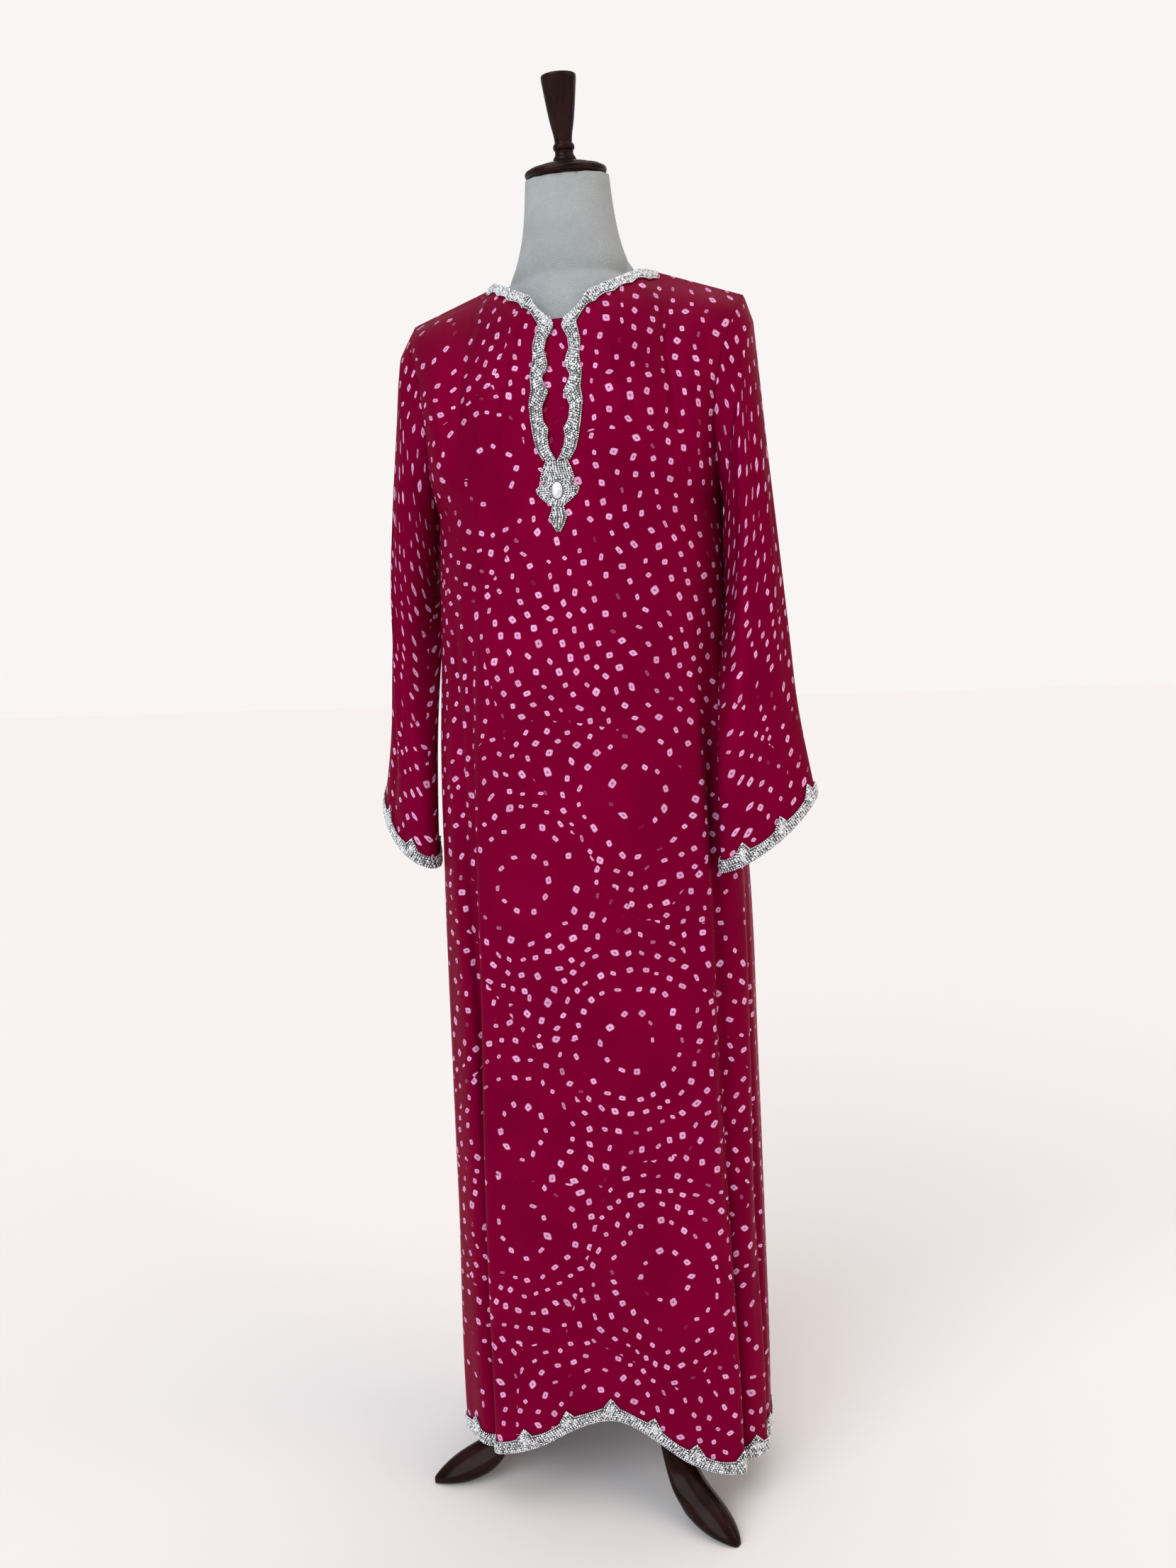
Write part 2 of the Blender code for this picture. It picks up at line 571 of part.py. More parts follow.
def make_underlay(grids, collection):
    """Panel of the same silk behind the keyhole, straight along its top."""
    left, right = (half[len(LOWER_ROWS):] for half in grids["front"])
    middle = (left[:, -1] + right[:, -1]) / 2
    grid = np.stack([left[:, -3], left[:, -2], middle, right[:, -2], right[:, -3]], axis=1)
    # the last rows rise towards the neckline, so the top edge is levelled off below them
    top = KEYHOLE[-1][0]
    for row, level in ((-2, top - UNDERLAY_DROP), (-1, top)):
        step = grid[row] - grid[row - 1]
        share = np.clip((level - grid[row - 1, :, 2]) / step[:, 2], UNDERLAY_STEP, 1.0)
        grid[row] = grid[row - 1] + step * share[:, None]
    sheet("keyhole_underlay", [grid], "silk", collection, lift=-(WALL + UNDERLAY_GAP))


def make_sleeves(collection):
    grids = {}
    for side, name in ((1, "sleeve_left"), (-1, "sleeve_right")):
        grids[name] = sleeve_grid(side)
        sheet(name, [grids[name]], "silk", collection, closed=True)
    return grids


def turned(name, profile, finish, collection, base=(0.0, 0.0, 0.0), tilt=0.0):
    """A turned piece: a profile of radius and height, screwed round its axis, leaning to the front."""
    mesh = bpy.data.meshes.new(name)
    mesh.from_pydata([(radius * CM, 0.0, height * CM) for radius, height in profile],
                     [(i, i + 1) for i in range(len(profile) - 1)], [])
    mesh.materials.append(finish_named(finish))
    obj = link(bpy.data.objects.new(name, mesh), collection)
    obj.location = [value * CM for value in base]
    obj.rotation_euler = (tilt, 0.0, 0.0)
    screw = obj.modifiers.new("Turned", "SCREW")
    screw.steps = TURNED_SIDES
    screw.render_steps = TURNED_SIDES
    screw.use_merge_vertices = True
    screw.merge_threshold = 0.0001
    screw.use_smooth_shade = True
    return obj


def loft(name, rings, finish, collection):
    """A closed solid through rings of equal count, capped at both ends."""
    mesh = bpy.data.meshes.new(name)
    work = bmesh.new()
    loops = [[work.verts.new(np.asarray(point) * CM) for point in ring] for ring in rings]
    count = len(loops[0])
    for low, high in zip(loops, loops[1:]):
        for j in range(count):
            k = (j + 1) % count
            work.faces.new((low[j], low[k], high[k], high[j]))
    work.faces.new(loops[0])
    work.faces.new(loops[-1])
    bmesh.ops.recalc_face_normals(work, faces=work.faces)
    work.to_mesh(mesh)
    work.free()
    mesh.shade_smooth()
    mesh.set_sharp_from_angle(angle=SHARP_ANGLE)
    mesh.materials.append(finish_named(finish))
    return link(bpy.data.objects.new(name, mesh), collection)


def form_ring(row):
    """Section of the form: an oval core merged with a flat ridge that carries the shoulders."""
    z, width, ahead, behind, ridge_width, ridge_depth, lean = row
    ring = []
    for i in range(FORM_SIDES):
        angle = 2.0 * math.pi * i / FORM_SIDES
        c, s = math.cos(angle), math.sin(angle)
        depth = behind if s > 0 else ahead
        reach = (abs(c / width) ** FORM_POWER + abs(s / depth) ** FORM_POWER) ** (-1.0 / FORM_POWER)
        if ridge_width:
            ridge = ((c / ridge_width) ** 2 + (s / ridge_depth) ** 2) ** -0.5
            reach = (reach ** RIDGE_BLEND + ridge ** RIDGE_BLEND) ** (1.0 / RIDGE_BLEND)
        y = SEAM_Y - lean + reach * s
        # the sections turn with the neck, up to its slanted top
        rise = max(0.0, z - SHOULDER_TOP) / (FORM[-1][0] - SHOULDER_TOP)
        ring.append((reach * c, y, z + math.tan(NECK_TILT) * (y - NECK_TOP[1]) * rise))
    return ring


def make_form(collection):
    """Torso and neck of the form in one closed body, flat at the neck and at its foot."""
    loft("form_bust", [form_ring(row) for row in FORM], "linen", collection)


def make_turned_pieces(collection):
    up = np.array([0.0, -math.sin(NECK_TILT), math.cos(NECK_TILT)])
    base = np.asarray(NECK_TOP) + up * GAP / CM
    turned("neck_cap", CAP_PROFILE, "wood", collection, base, NECK_TILT)
    top = base + up * (CAP_PROFILE[0][1] + GAP / CM)
    turned("finial", FINIAL_PROFILE, "wood", collection, top, NECK_TILT)
    turned("pole", POLE_PROFILE, "wood", collection)
    turned("hub", HUB_PROFILE, "wood", collection)


def make_legs(collection):
    """Three carved legs, each lofted outwards from the hub, with a flat underside at the foot."""
    for number, degrees in enumerate(LEG_ANGLES, start=1):
        heading = math.radians(degrees)
        ahead = np.array([math.sin(heading), -math.cos(heading), 0.0])
        across = np.array([math.cos(heading), math.sin(heading), 0.0])
        rings = []
        for radius, ridge, under, half in LEG:
            rings.append([ahead * radius + across * half * w + (0.0, 0.0, under + (ridge - under) * h)
                          for w, h in LEG_SECTION])
        loft(f"leg_{number}", rings, "wood", collection)


def stand_on_origin(collection):
    """Move all pieces so that the middle of the model's footprint lies on the origin."""
    depsgraph = bpy.context.evaluated_depsgraph_get()
    corners = []
    for obj in collection.objects:
        shape = obj.evaluated_get(depsgraph)
        corners += [obj.matrix_world @ Vector(corner) for corner in shape.bound_box]
    corners = np.array(corners)
    low = corners.min(axis=0)
    middle = (low + corners.max(axis=0)) / 2
    for obj in collection.objects:
        obj.location -= Vector((middle[0], middle[1], low[2]))


def build():
    clear_scene()
    collection = bpy.data.collections.new("kaftan_on_form")
    bpy.context.scene.collection.children.link(collection)
    panels = make_body(collection)
    sleeves = make_sleeves(collection)
    make_underlay(panels, collection)
    make_neck_trims(panels, collection)
    make_hem_trims(panels, collection)
    make_cuff_trims(sleeves, collection)
    make_pendant(panels, collection)
    make_form(collection)
    make_turned_pieces(collection)
    make_legs(collection)
    bpy.context.view_layer.update()
    stand_on_origin(collection)


build()
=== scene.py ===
"""Looks of the dotted silk kaftan with beaded trims, on its linen dress form and wooden tripod.

Tables are in centimetres in the garment's own axes: x to the wearer's left, y to the back, z up.
"""

import math

import bpy
import numpy as np
from mathutils import Matrix, Vector


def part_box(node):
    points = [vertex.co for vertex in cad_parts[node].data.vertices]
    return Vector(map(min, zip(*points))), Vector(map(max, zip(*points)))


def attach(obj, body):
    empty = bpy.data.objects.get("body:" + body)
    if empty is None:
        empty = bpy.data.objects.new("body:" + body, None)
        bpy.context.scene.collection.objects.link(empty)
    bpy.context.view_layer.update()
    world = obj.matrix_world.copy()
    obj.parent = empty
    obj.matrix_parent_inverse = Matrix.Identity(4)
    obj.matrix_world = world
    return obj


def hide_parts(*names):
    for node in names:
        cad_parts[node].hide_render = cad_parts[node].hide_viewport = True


bl_info = {
    "name": "Dotted kaftan on a dress form",
    "version": (1, 0, 0),
    "blender": (4, 5, 0),
    "location": "3D View > Sidebar > Kaftan",
    "description": "Silk, bead trims, linen and polished wood over the kaftan's solids",
    "category": "Object",
}

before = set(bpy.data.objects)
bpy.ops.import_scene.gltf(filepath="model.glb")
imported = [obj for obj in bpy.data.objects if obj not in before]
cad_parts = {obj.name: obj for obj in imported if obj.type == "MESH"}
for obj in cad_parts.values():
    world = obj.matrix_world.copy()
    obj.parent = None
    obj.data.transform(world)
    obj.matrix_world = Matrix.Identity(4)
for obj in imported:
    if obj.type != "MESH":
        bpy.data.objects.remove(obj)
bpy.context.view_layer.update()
CM = 0.01
WALL = 0.12 * CM
GAP = 0.03 * CM
# the garment's axis stands where the pole does
POLE_LOW, POLE_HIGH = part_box("pole")
AXIS = Vector(((POLE_LOW.x + POLE_HIGH.x) / 2, (POLE_LOW.y + POLE_HIGH.y) / 2, 0.0))

# ---------------------------------------------------------------- shape of the garment, as in its solids
SEAM_Y = 0.5
UNDERARM = 120.5
HEM_LEVEL = 5.0
BODY_POWER = 2.35
BODY_LEVELS = 110
# height, half width towards -X and towards +X, depth to the front and to the back
SECTIONS = (
    (0.0, 17.6, 20.4, 12.9, 15.6),
    (15.0, 18.2, 20.5, 12.8, 15.0),
    (35.0, 18.5, 20.2, 12.6, 14.2),
    (55.0, 18.4, 19.8, 12.4, 13.6),
    (75.0, 18.5, 19.4, 12.3, 13.1),
    (90.0, 18.3, 18.4, 12.0, 12.6),
    (105.0, 17.6, 17.4, 11.6, 11.7),
    (UNDERARM, 17.2, 17.2, 11.1, 10.9),
)
# place round the half at the top and at the hem, height where it starts, width, depth, overhang, side
FRONT_FOLDS = (
    (0.130, 0.120, 96.0, 0.026, 1.6, 0.5, -1),
    (0.300, 0.285, 130.0, 0.030, 3.0, 1.5, -1),
    (0.800, 0.810, 116.0, 0.030, 2.8, 1.3, 1),
    (0.905, 0.915, 84.0, 0.024, 1.5, 0.6, 1),
)
BACK_FOLDS = (
    (0.170, 0.160, 104.0, 0.034, 2.2, 0.8, -1),
    (0.330, 0.300, 126.0, 0.034, 2.8, 1.2, -1),
    (0.690, 0.710, 124.0, 0.034, 2.6, 1.1, 1),
    (0.850, 0.860, 92.0, 0.032, 1.9, 0.7, 1),
)
# shape of a fold: how far its ridge and valley reach, and how much of its depth each takes
RIDGE_REACH, VALLEY_REACH, VALLEY_SHIFT = 0.9, 0.85, 1.25
RIDGE_SHARE, VALLEY_SHARE = 0.35, 0.75
FOLD_GROWTH = 0.8
SEAM_FADE = 0.05
TANGENT_STEP = 0.006
# broad hollow of a panel: place round the half, width, depth, height where it starts
FRONT_HOLLOW = (0.54, 0.17, 3.4, 62.0)
BACK_HOLLOW = (0.50, 0.15, 1.6, 70.0)
# place round the half, height of the hem
FRONT_HEM = ((0.0, 5.4), (0.13, 6.3), (0.27, 6.4), (0.36, 8.2), (0.45, 10.4), (0.54, 11.2),
             (0.63, 9.6), (0.72, 6.9), (0.81, 5.2), (0.90, 5.6), (1.0, 5.8))
BACK_HEM = ((0.0, 5.4), (0.2, 5.2), (0.38, 6.4), (0.52, 7.6), (0.64, 6.6), (0.8, 5.3), (1.0, 5.8))
BACK_BAND_START = 0.942
FOLD_REACH, CLEAR_REACH, EDGE_SPARE = 2.2, 2.6, 0.012
# points of the edges on the +X side, from the shoulder tip down and from the neck point in
SHOULDER_TIP = (20.2, SEAM_Y, 144.4)
ARMHOLE_FRONT = ((19.5, -3.4, 141.2), (18.0, -5.4, 136.0), (17.1, -5.8, 130.0), (17.0, -3.8, 124.0))
UNDERARM_POINT = (17.2, SEAM_Y, UNDERARM)
ARMHOLE_BACK = ((19.6, 4.2, 141.4), (18.5, 6.4, 136.0), (17.8, 7.0, 130.0), (17.3, 5.0, 124.0))
NECK_POINT = (10.4, SEAM_Y, 147.9)
NECKLINE_FRONT = ((8.7, -2.6, 147.5), (6.1, -5.5, 145.9), (3.5, -7.7, 144.3), (2.8, -7.9, 143.1),
                  (1.6, -8.15, 141.8))
NECKLINE_BACK = ((8.4, 4.0, 148.2), (4.6, 6.5, 148.4), (0.0, 7.2, 148.4))
# shares of a panel's top edge where the shoulder seam ends and the neckline's points lie
FRONT_TOP_SHARES = (0.0, 0.46, 0.56, 0.68, 0.82, 0.88, 0.95, 1.0)
BACK_TOP_SHARES = (0.0, 0.46, 0.60, 0.80, 1.0)
# height and half width of the keyhole, then height and depth of the centre lines
KEYHOLE = ((124.9, 0.0), (125.7, 0.5), (126.6, 0.85), (127.6, 0.95), (128.4, 0.85), (129.5, 1.45),
           (131.0, 1.55), (132.6, 0.85), (134.2, 1.6), (135.8, 0.92), (137.5, 1.4), (138.8, 1.2),
           (140.2, 0.42), (141.4, 0.8))
SHOULDER_ROUNDING = 5.0
ROUNDING_SCALE = 6.75
CENTRE_FRONT = ((UNDERARM, -11.1), (125.0, -11.0), (130.0, -10.7), (136.0, -9.7), (141.4, -8.2))
CENTRE_BACK = ((UNDERARM, 10.9), (130.0, 11.0), (138.0, 10.3), (144.0, 8.9), (148.4, 7.2))
# points of the outer and inner side on the way down a sleeve, and half its thickness
SLEEVE = (
    ((21.3, 0.3, 141.3), (18.0, 0.3, 117.6), 5.9),
    ((22.0, -0.2, 134.0), (18.3, -0.6, 114.2), 5.1),
    ((22.8, -0.8, 124.0), (18.5, -2.4, 108.4), 3.9),
    ((23.7, -1.6, 115.0), (18.3, -4.8, 101.5), 3.0),
    ((24.6, -2.1, 106.0), (17.8, -7.0, 94.0), 2.5),
    ((25.6, -2.4, 96.5), (17.4, -7.9, 86.0), 2.2),
    ((27.5, -2.2, 86.0), (17.2, -8.2, 77.6), 2.3),
)
# how far the sleeve swings back, and its inner and outer side out, and the share of the way where it has
SLEEVE_HANG = {1: (0.0, 0.0, 0.0), -1: (3.4, 1.7, -1.0)}
HANG_REACHED = 0.625
CUFF_SAG = 0.9
CAP_ROWS = 9
# the dots were tied on narrower cloth, so they come out wider on a sleeve; the creases' table is
# wider than that map by these shares at the armhole and at the cuff
SLEEVE_DRAWN = 0.86
CREASES_DRAWN = (0.56, 0.86)
SLEEVE_STEPS = (112, 104)
ARM_MIDDLE = (SEAM_Y, 132.0)
# how far the sleeves' allowance reaches past the seam, and how far it draws in
TUCK = (0.45, 0.045)
# how far the inner side leans to the body, over which share of the way, and how soon
SLEEVE_LEAN = {1: 0.85, -1: 0.0}
LEAN_REACH, LEAN_POWER = 0.75, 0.5
UNDERARM_CLEARANCE = 0.34
BACK_CLEARANCE = 0.12
FRONT_CLEARANCE = 0.05
# drop below the pendant's top and its half width there
PENDANT = ((0.0, 1.2), (0.9, 1.6), (1.9, 1.9), (2.4, 1.6), (3.1, 2.45), (3.7, 2.2), (4.5, 1.3),
           (5.0, 0.6), (5.5, 0.65), (6.2, 0.95), (7.1, 0.6), (7.9, 0.12))
PENDANT_TOP = 124.84
# the stone's drop, half width, half height and thickness
STONE = (3.3, 0.62, 0.95, 0.42)
# the stone before it is drawn to its size: radius and height of its foot, girdle and crown
STONE_TURNING = ((1.0, 0.0), (1.0, 1.0), (0.90, 1.28), (0.63, 1.44), (0.2646, 1.50))
NECK_TILT = math.radians(13.5)
NECK_TOP = (0.0, -1.5, 159.3)

# ---------------------------------------------------------------- soft creases, dots and beads
# from (across, height) to (across, height) on the panel, half width, depth: below zero a trough
FRONT_CREASES = (
    (-14.2, 122.0, -14.8, 4.0, 1.15, -0.85), (-11.9, 126.0, -12.3, 4.0, 1.0, 0.24),
    (17.3, 116.0, 19.6, 4.0, 1.2, -0.85), (15.4, 118.0, 16.6, 4.0, 1.0, 0.22),
    (-22.0, 100.0, -24.0, 4.0, 1.1, -0.55), (23.6, 92.0, 27.0, 4.0, 1.1, -0.55),
    (-9.5, 128.0, -13.0, 96.0, 1.9, 0.26), (-6.0, 116.0, -7.5, 70.0, 3.2, 0.16),
    (9.5, 127.0, 12.0, 88.0, 2.1, 0.24), (6.5, 121.0, 8.0, 84.0, 2.6, -0.16),
    (-14.5, 139.0, -12.0, 126.0, 1.7, -0.30), (14.8, 138.0, 12.4, 124.0, 1.6, -0.28),
    (-16.5, 127.0, -11.0, 122.0, 1.4, 0.22), (16.5, 126.0, 10.5, 121.0, 1.4, 0.22),
    (-3.0, 96.0, -2.0, 40.0, 3.4, 0.22), (4.0, 88.0, 6.0, 26.0, 3.0, 0.30),
    (9.5, 80.0, 12.5, 20.0, 2.4, -0.34), (-9.5, 84.0, -11.5, 22.0, 2.2, -0.26),
    (0.5, 60.0, 1.5, 14.0, 2.6, -0.30), (-6.0, 52.0, -7.5, 10.0, 2.0, 0.26),
    (8.5, 44.0, 10.0, 9.0, 1.8, 0.28), (-13.0, 64.0, -15.0, 14.0, 1.6, 0.22),
    (-22.0, 92.0, -25.0, 30.0, 1.5, 0.24), (23.0, 90.0, 26.0, 26.0, 1.6, 0.26),
    (-4.5, 146.0, -9.0, 138.0, 1.3, 0.14), (4.8, 145.5, 9.5, 137.0, 1.3, 0.14),
)
BACK_CREASES = (
    (-14.5, 120.0, -16.0, 4.0, 1.4, -0.70), (14.8, 120.0, 16.4, 4.0, 1.4, -0.70),
    (-8.0, 134.0, -11.0, 98.0, 2.2, 0.26), (7.5, 132.0, 10.5, 92.0, 2.3, 0.26),
    (0.5, 128.0, -0.5, 60.0, 3.2, -0.28), (-14.0, 138.0, -12.0, 124.0, 1.7, -0.26),
    (14.0, 138.0, 12.0, 125.0, 1.7, -0.26), (-4.5, 92.0, -6.5, 30.0, 2.6, 0.30),
    (5.0, 88.0, 7.5, 24.0, 2.6, 0.28), (-12.5, 72.0, -15.5, 14.0, 2.0, -0.30),
    (13.0, 76.0, 16.0, 16.0, 2.0, -0.28), (0.0, 54.0, 1.5, 10.0, 2.3, 0.30),
    (-23.0, 88.0, -26.0, 26.0, 1.6, 0.22), (24.0, 84.0, 27.0, 22.0, 1.6, 0.22),
)
# on a sleeve: across is 0 along its outer line, above zero at its front; the height is the way down
SLEEVE_CREASES = {
    1: ((18.5, 2.0, 14.5, -54.0, 3.6, 0.85), (-18.5, 2.0, -14.5, -54.0, 3.6, 0.60),
        (9.0, -16.0, 5.0, -50.0, 1.5, 0.20), (4.5, -10.0, 3.0, -42.0, 1.7, -0.22),
        (12.5, -8.0, 8.0, -24.0, 1.3, -0.20), (14.0, -30.0, 8.5, -56.0, 1.3, 0.18),
        (-8.0, -14.0, -5.0, -50.0, 1.7, 0.24), (-12.0, -20.0, -9.0, -46.0, 1.4, -0.22)),
    -1: ((6.5, -8.0, 5.5, -58.0, 1.15, -0.55), (9.0, -12.0, 8.0, -54.0, 1.2, 0.30),
         (3.5, -14.0, 3.0, -50.0, 1.2, 0.26), (12.0, -6.0, 9.5, -22.0, 1.3, -0.20),
         (-8.0, -12.0, -5.5, -50.0, 1.6, 0.24), (-12.0, -20.0, -9.0, -46.0, 1.4, -0.22)),
}
# middles of the dots' rings: across, height, and how far the rings reach past their neighbours'
FRONT_RINGS = (
    (-8.2, 124.0, 0.0), (9.5, 133.5, 0.0), (-19.0, 141.0, 3.0), (8.2, 87.0, 0.0), (-5.5, 77.0, 0.0),
    (6.5, 58.5, 0.0), (-7.0, 47.5, -1.0), (-7.5, 35.5, -1.0), (46.0, 128.0, 44.5), (10.0, 30.0, 0.0),
    (-25.0, 62.0, 1.0), (26.0, 72.0, 1.0), (1.0, 9.0, -1.0), (-22.0, 12.0, 0.0), (27.0, 22.0, 0.0),
    (-26.0, 100.0, 0.0),
)
BACK_RINGS = (
    (-9.0, 132.0, 0.0), (9.0, 126.0, 0.0), (44.0, 100.0, 38.0), (-8.0, 96.0, 0.0), (7.0, 78.0, 0.0),
    (-10.0, 60.0, 0.0), (8.0, 44.0, 0.0), (-7.0, 28.0, 0.0), (20.0, 18.0, 0.0), (-26.0, 30.0, 0.0),
    (0.0, 8.0, 0.0), (-24.0, 80.0, 1.0), (25.0, 60.0, 1.0),
)
SLEEVE_RINGS = ((-42.0, -70.0, 20.0), (60.0, -20.0, 45.0), (2.0, -70.0, 0.0))
UNDERLAY_RINGS = ((-14.0, 134.0, 0.0),)
# bands: width between peaks, height of a peak over it, pitch of the peaks
HEM_BAND = (1.7, 0.95, 5.6)
HEM_LEAD = {"front": 0.28, "back": 0.0}
CUFF_BAND = (1.65, 0.95, 5.4)
NECK_BAND = (1.85, 0.0, 3.1)
KEYHOLE_BAND = (1.75, 0.0, 3.2)
# height and distance from the centre of the keyhole bands' outer edge
KEYHOLE_OUTER = ((124.9, 1.5), (126.0, 2.2), (127.5, 2.6), (129.5, 2.9), (131.2, 3.1), (132.6, 2.85),
                 (134.4, 3.0), (136.0, 2.75), (137.8, 2.85), (139.4, 2.5), (141.4, 2.25))


# ---------------------------------------------------------------- what a user would change
def colour_setting(name, description, default):
    return bpy.props.FloatVectorProperty(name=name, description=description, subtype="COLOR", size=3,
                                         min=0.0, max=1.0, default=default)


def length_setting(name, description, default, low, high):
    return bpy.props.FloatProperty(name=name, description=description, default=default, min=low, max=high,
                                   subtype="DISTANCE", unit="LENGTH")


def strength_setting(name, description, default, high):
    return bpy.props.FloatProperty(name=name, description=description, default=default, min=0.0, max=high)


def count_setting(name, description, default, low, high):
    return bpy.props.IntProperty(name=name, description=description, default=default, min=low, max=high)


class KaftanCloth(bpy.types.PropertyGroup):
    dye: colour_setting("Dye", "Colour of the silk", (0.182, 0.0, 0.025))
    dot: colour_setting("Dots", "Colour of the undyed dots", (0.80, 0.41, 0.68))
    dot_spacing: length_setting("Dot spacing", "Distance between the rings of dots", 0.0206, 0.01, 0.06)
    dot_size: length_setting("Dot size", "Width of a dot", 0.0065, 0.002, 0.02)
    fineness: count_setting("Fineness", "Steps of the sheet for each step of the solid", 4, 1, 8)


class KaftanBeads(bpy.types.PropertyGroup):
    radius: length_setting("Bead radius", "Radius of the middle-sized round beads", 0.00152, 0.0005, 0.004)
    silver: colour_setting("Silver", "Colour of the metal beads", (0.74, 0.75, 0.78))
    net: colour_setting("Tape", "Colour of the tape under the beads", (0.20, 0.19, 0.19))


class KaftanStand(bpy.types.PropertyGroup):
    linen: colour_setting("Linen", "Colour of the form's cover", (0.43, 0.46, 0.47))
    wood: colour_setting("Wood", "Colour of the polished wood", (0.013, 0.0035, 0.0035))
    sides: count_setting("Sides", "Steps round a turned piece", 72, 24, 128)


class KaftanStage(bpy.types.PropertyGroup):
    floor: colour_setting("Floor", "Colour of the floor and of the room", (0.947, 0.913, 0.913))
    window: strength_setting("Window light", "Strength of the soft light at the front", 1.7, 10.0)
    room: strength_setting("Room light", "Strength of the even light all round", 0.42, 3.0)


# ---------------------------------------------------------------- shape functions
def curve_through(xs, ys, x):
    """Smooth curve through the points (xs, ys), each slope taken from the point's neighbours."""
    xs = np.asarray(xs, float)
    ys = np.asarray(ys, float)
    slopes = np.gradient(ys, xs)
    i = np.clip(np.searchsorted(xs, x) - 1, 0, len(xs) - 2)
    step = xs[i + 1] - xs[i]
    t = (x - xs[i]) / step
    return ((2 * t**3 - 3 * t**2 + 1) * ys[i] + (t**3 - 2 * t**2 + t) * step * slopes[i]
            + (3 * t**2 - 2 * t**3) * ys[i + 1] + (t**3 - t**2) * step * slopes[i + 1])


def table_curve(table, x, column=1):
    """Smooth curve of one column of a table over its first column."""
    return curve_through([row[0] for row in table], [row[column] for row in table], x)


def table_line(table, x, **ends):
    """Straight lines through a table's first two columns."""
    return np.interp(x, [row[0] for row in table], [row[1] for row in table], **ends)


def path_through(shares, points, share):
    """Smooth path in space: the points are passed at the given shares of the way."""
    points = np.asarray(points, float)
    return np.stack([curve_through(shares, points[:, k], share) for k in range(3)], axis=-1)


def ease(t):
    """Soft step from 0 at 0 to 1 at 1."""
    t = np.clip(t, 0.0, 1.0)
    return t * t * (3.0 - 2.0 * t)


def unit(vectors):
    """The vectors at length 1."""
    return vectors / np.maximum(np.linalg.norm(vectors, axis=-1, keepdims=True), 1e-9)


def run_along(points):
    """Distance of each point from the first one, along the last row of the array."""
    steps = np.linalg.norm(np.diff(points, axis=-2), axis=-1)
    return np.concatenate([np.zeros_like(steps[..., :1]), np.cumsum(steps, axis=-1)], axis=-1)


def closed_columns(grid):
    """The grid with its first column repeated at its end."""
    return np.concatenate([grid, grid[:, :1]], axis=1)


def grid_faces(rows, columns):
    """Faces between the points of a grid, counted row by row."""
    return [(i * columns + j, i * columns + j + 1, (i + 1) * columns + j + 1, (i + 1) * columns + j)
            for i in range(rows - 1) for j in range(columns - 1)]


def finer(values, steps):
    """The values with this many steps in place of each step between them."""
    values = np.asarray(values, float)
    places = np.linspace(0.0, len(values) - 1.0, (len(values) - 1) * steps + 1)
    return np.interp(places, np.arange(len(values)), values)


def base_ring(front, z, places):
    """Plan of one half of the body at height z, without folds, at the given places round it."""
    right, left, ahead, behind = (table_curve(SECTIONS, z, column) for column in range(1, 5))
    angle = np.linspace(0.0, math.pi, 361)
    side = np.cos(angle)
    width = np.where(side > 0.0, right, left)
    x = -width * np.sign(side) * np.abs(side) ** (2.0 / BODY_POWER)
    depth = -(ahead + SEAM_Y) if front else behind - SEAM_Y
    y = SEAM_Y + depth * np.abs(np.sin(angle)) ** (2.0 / BODY_POWER)
    run = np.concatenate([[0.0], np.cumsum(np.hypot(np.diff(x), np.diff(y)))])
    run /= run[-1]
    return np.stack([np.interp(places, run, x), np.interp(places, run, y)], axis=-1)


def folded_ring(front, z, columns):
    """Plan of one half of the body at height z with its folds and its hollow."""
    folds = FRONT_FOLDS if front else BACK_FOLDS
    rise = (z - HEM_LEVEL) / (UNDERARM - HEM_LEVEL)
    fold_lines = [fold[1] + (fold[0] - fold[1]) * rise for fold in folds]
    places = np.interp(columns, [0.0] + [fold[1] for fold in folds] + [1.0], [0.0, *fold_lines, 1.0])
    points = base_ring(front, z, places)
    along = unit(base_ring(front, z, np.minimum(places + TANGENT_STEP, 1.0))
                 - base_ring(front, z, np.maximum(places - TANGENT_STEP, 0.0)))
    turn = 1.0 if front else -1.0
    out = np.stack([along[:, 1], -along[:, 0]], axis=-1) * turn
    pinned = ease(np.minimum(places, 1.0 - places) / SEAM_FADE)
    for line, fold in zip(fold_lines, folds):
        start, width, depth, overhang, side = fold[2:]
        grown = ease((start - z) / (start - HEM_LEVEL)) ** FOLD_GROWTH
        u = (places - line) / width
        ridge = np.exp(-(u / RIDGE_REACH) ** 2)
        valley = np.exp(-((u - side * VALLEY_SHIFT) / VALLEY_REACH) ** 2)
        lift = depth * (RIDGE_SHARE * ridge - VALLEY_SHARE * valley)
        points = points + out * (pinned * grown * lift)[:, None]
        points = points + along * (pinned * grown * overhang * side * ridge)[:, None]
    place, width, depth, top = FRONT_HOLLOW if front else BACK_HOLLOW
    grown = ease((top - z) / (top - HEM_LEVEL))
    dent = np.exp(-((places - place) / width) ** 2) * depth * grown * pinned
    return points - out * dent[:, None]


def armhole(front):
    """The armhole line on the +X side, from the underarm up to the shoulder tip."""
    middle = ARMHOLE_FRONT if front else ARMHOLE_BACK
    return [UNDERARM_POINT, *reversed(middle), SHOULDER_TIP]


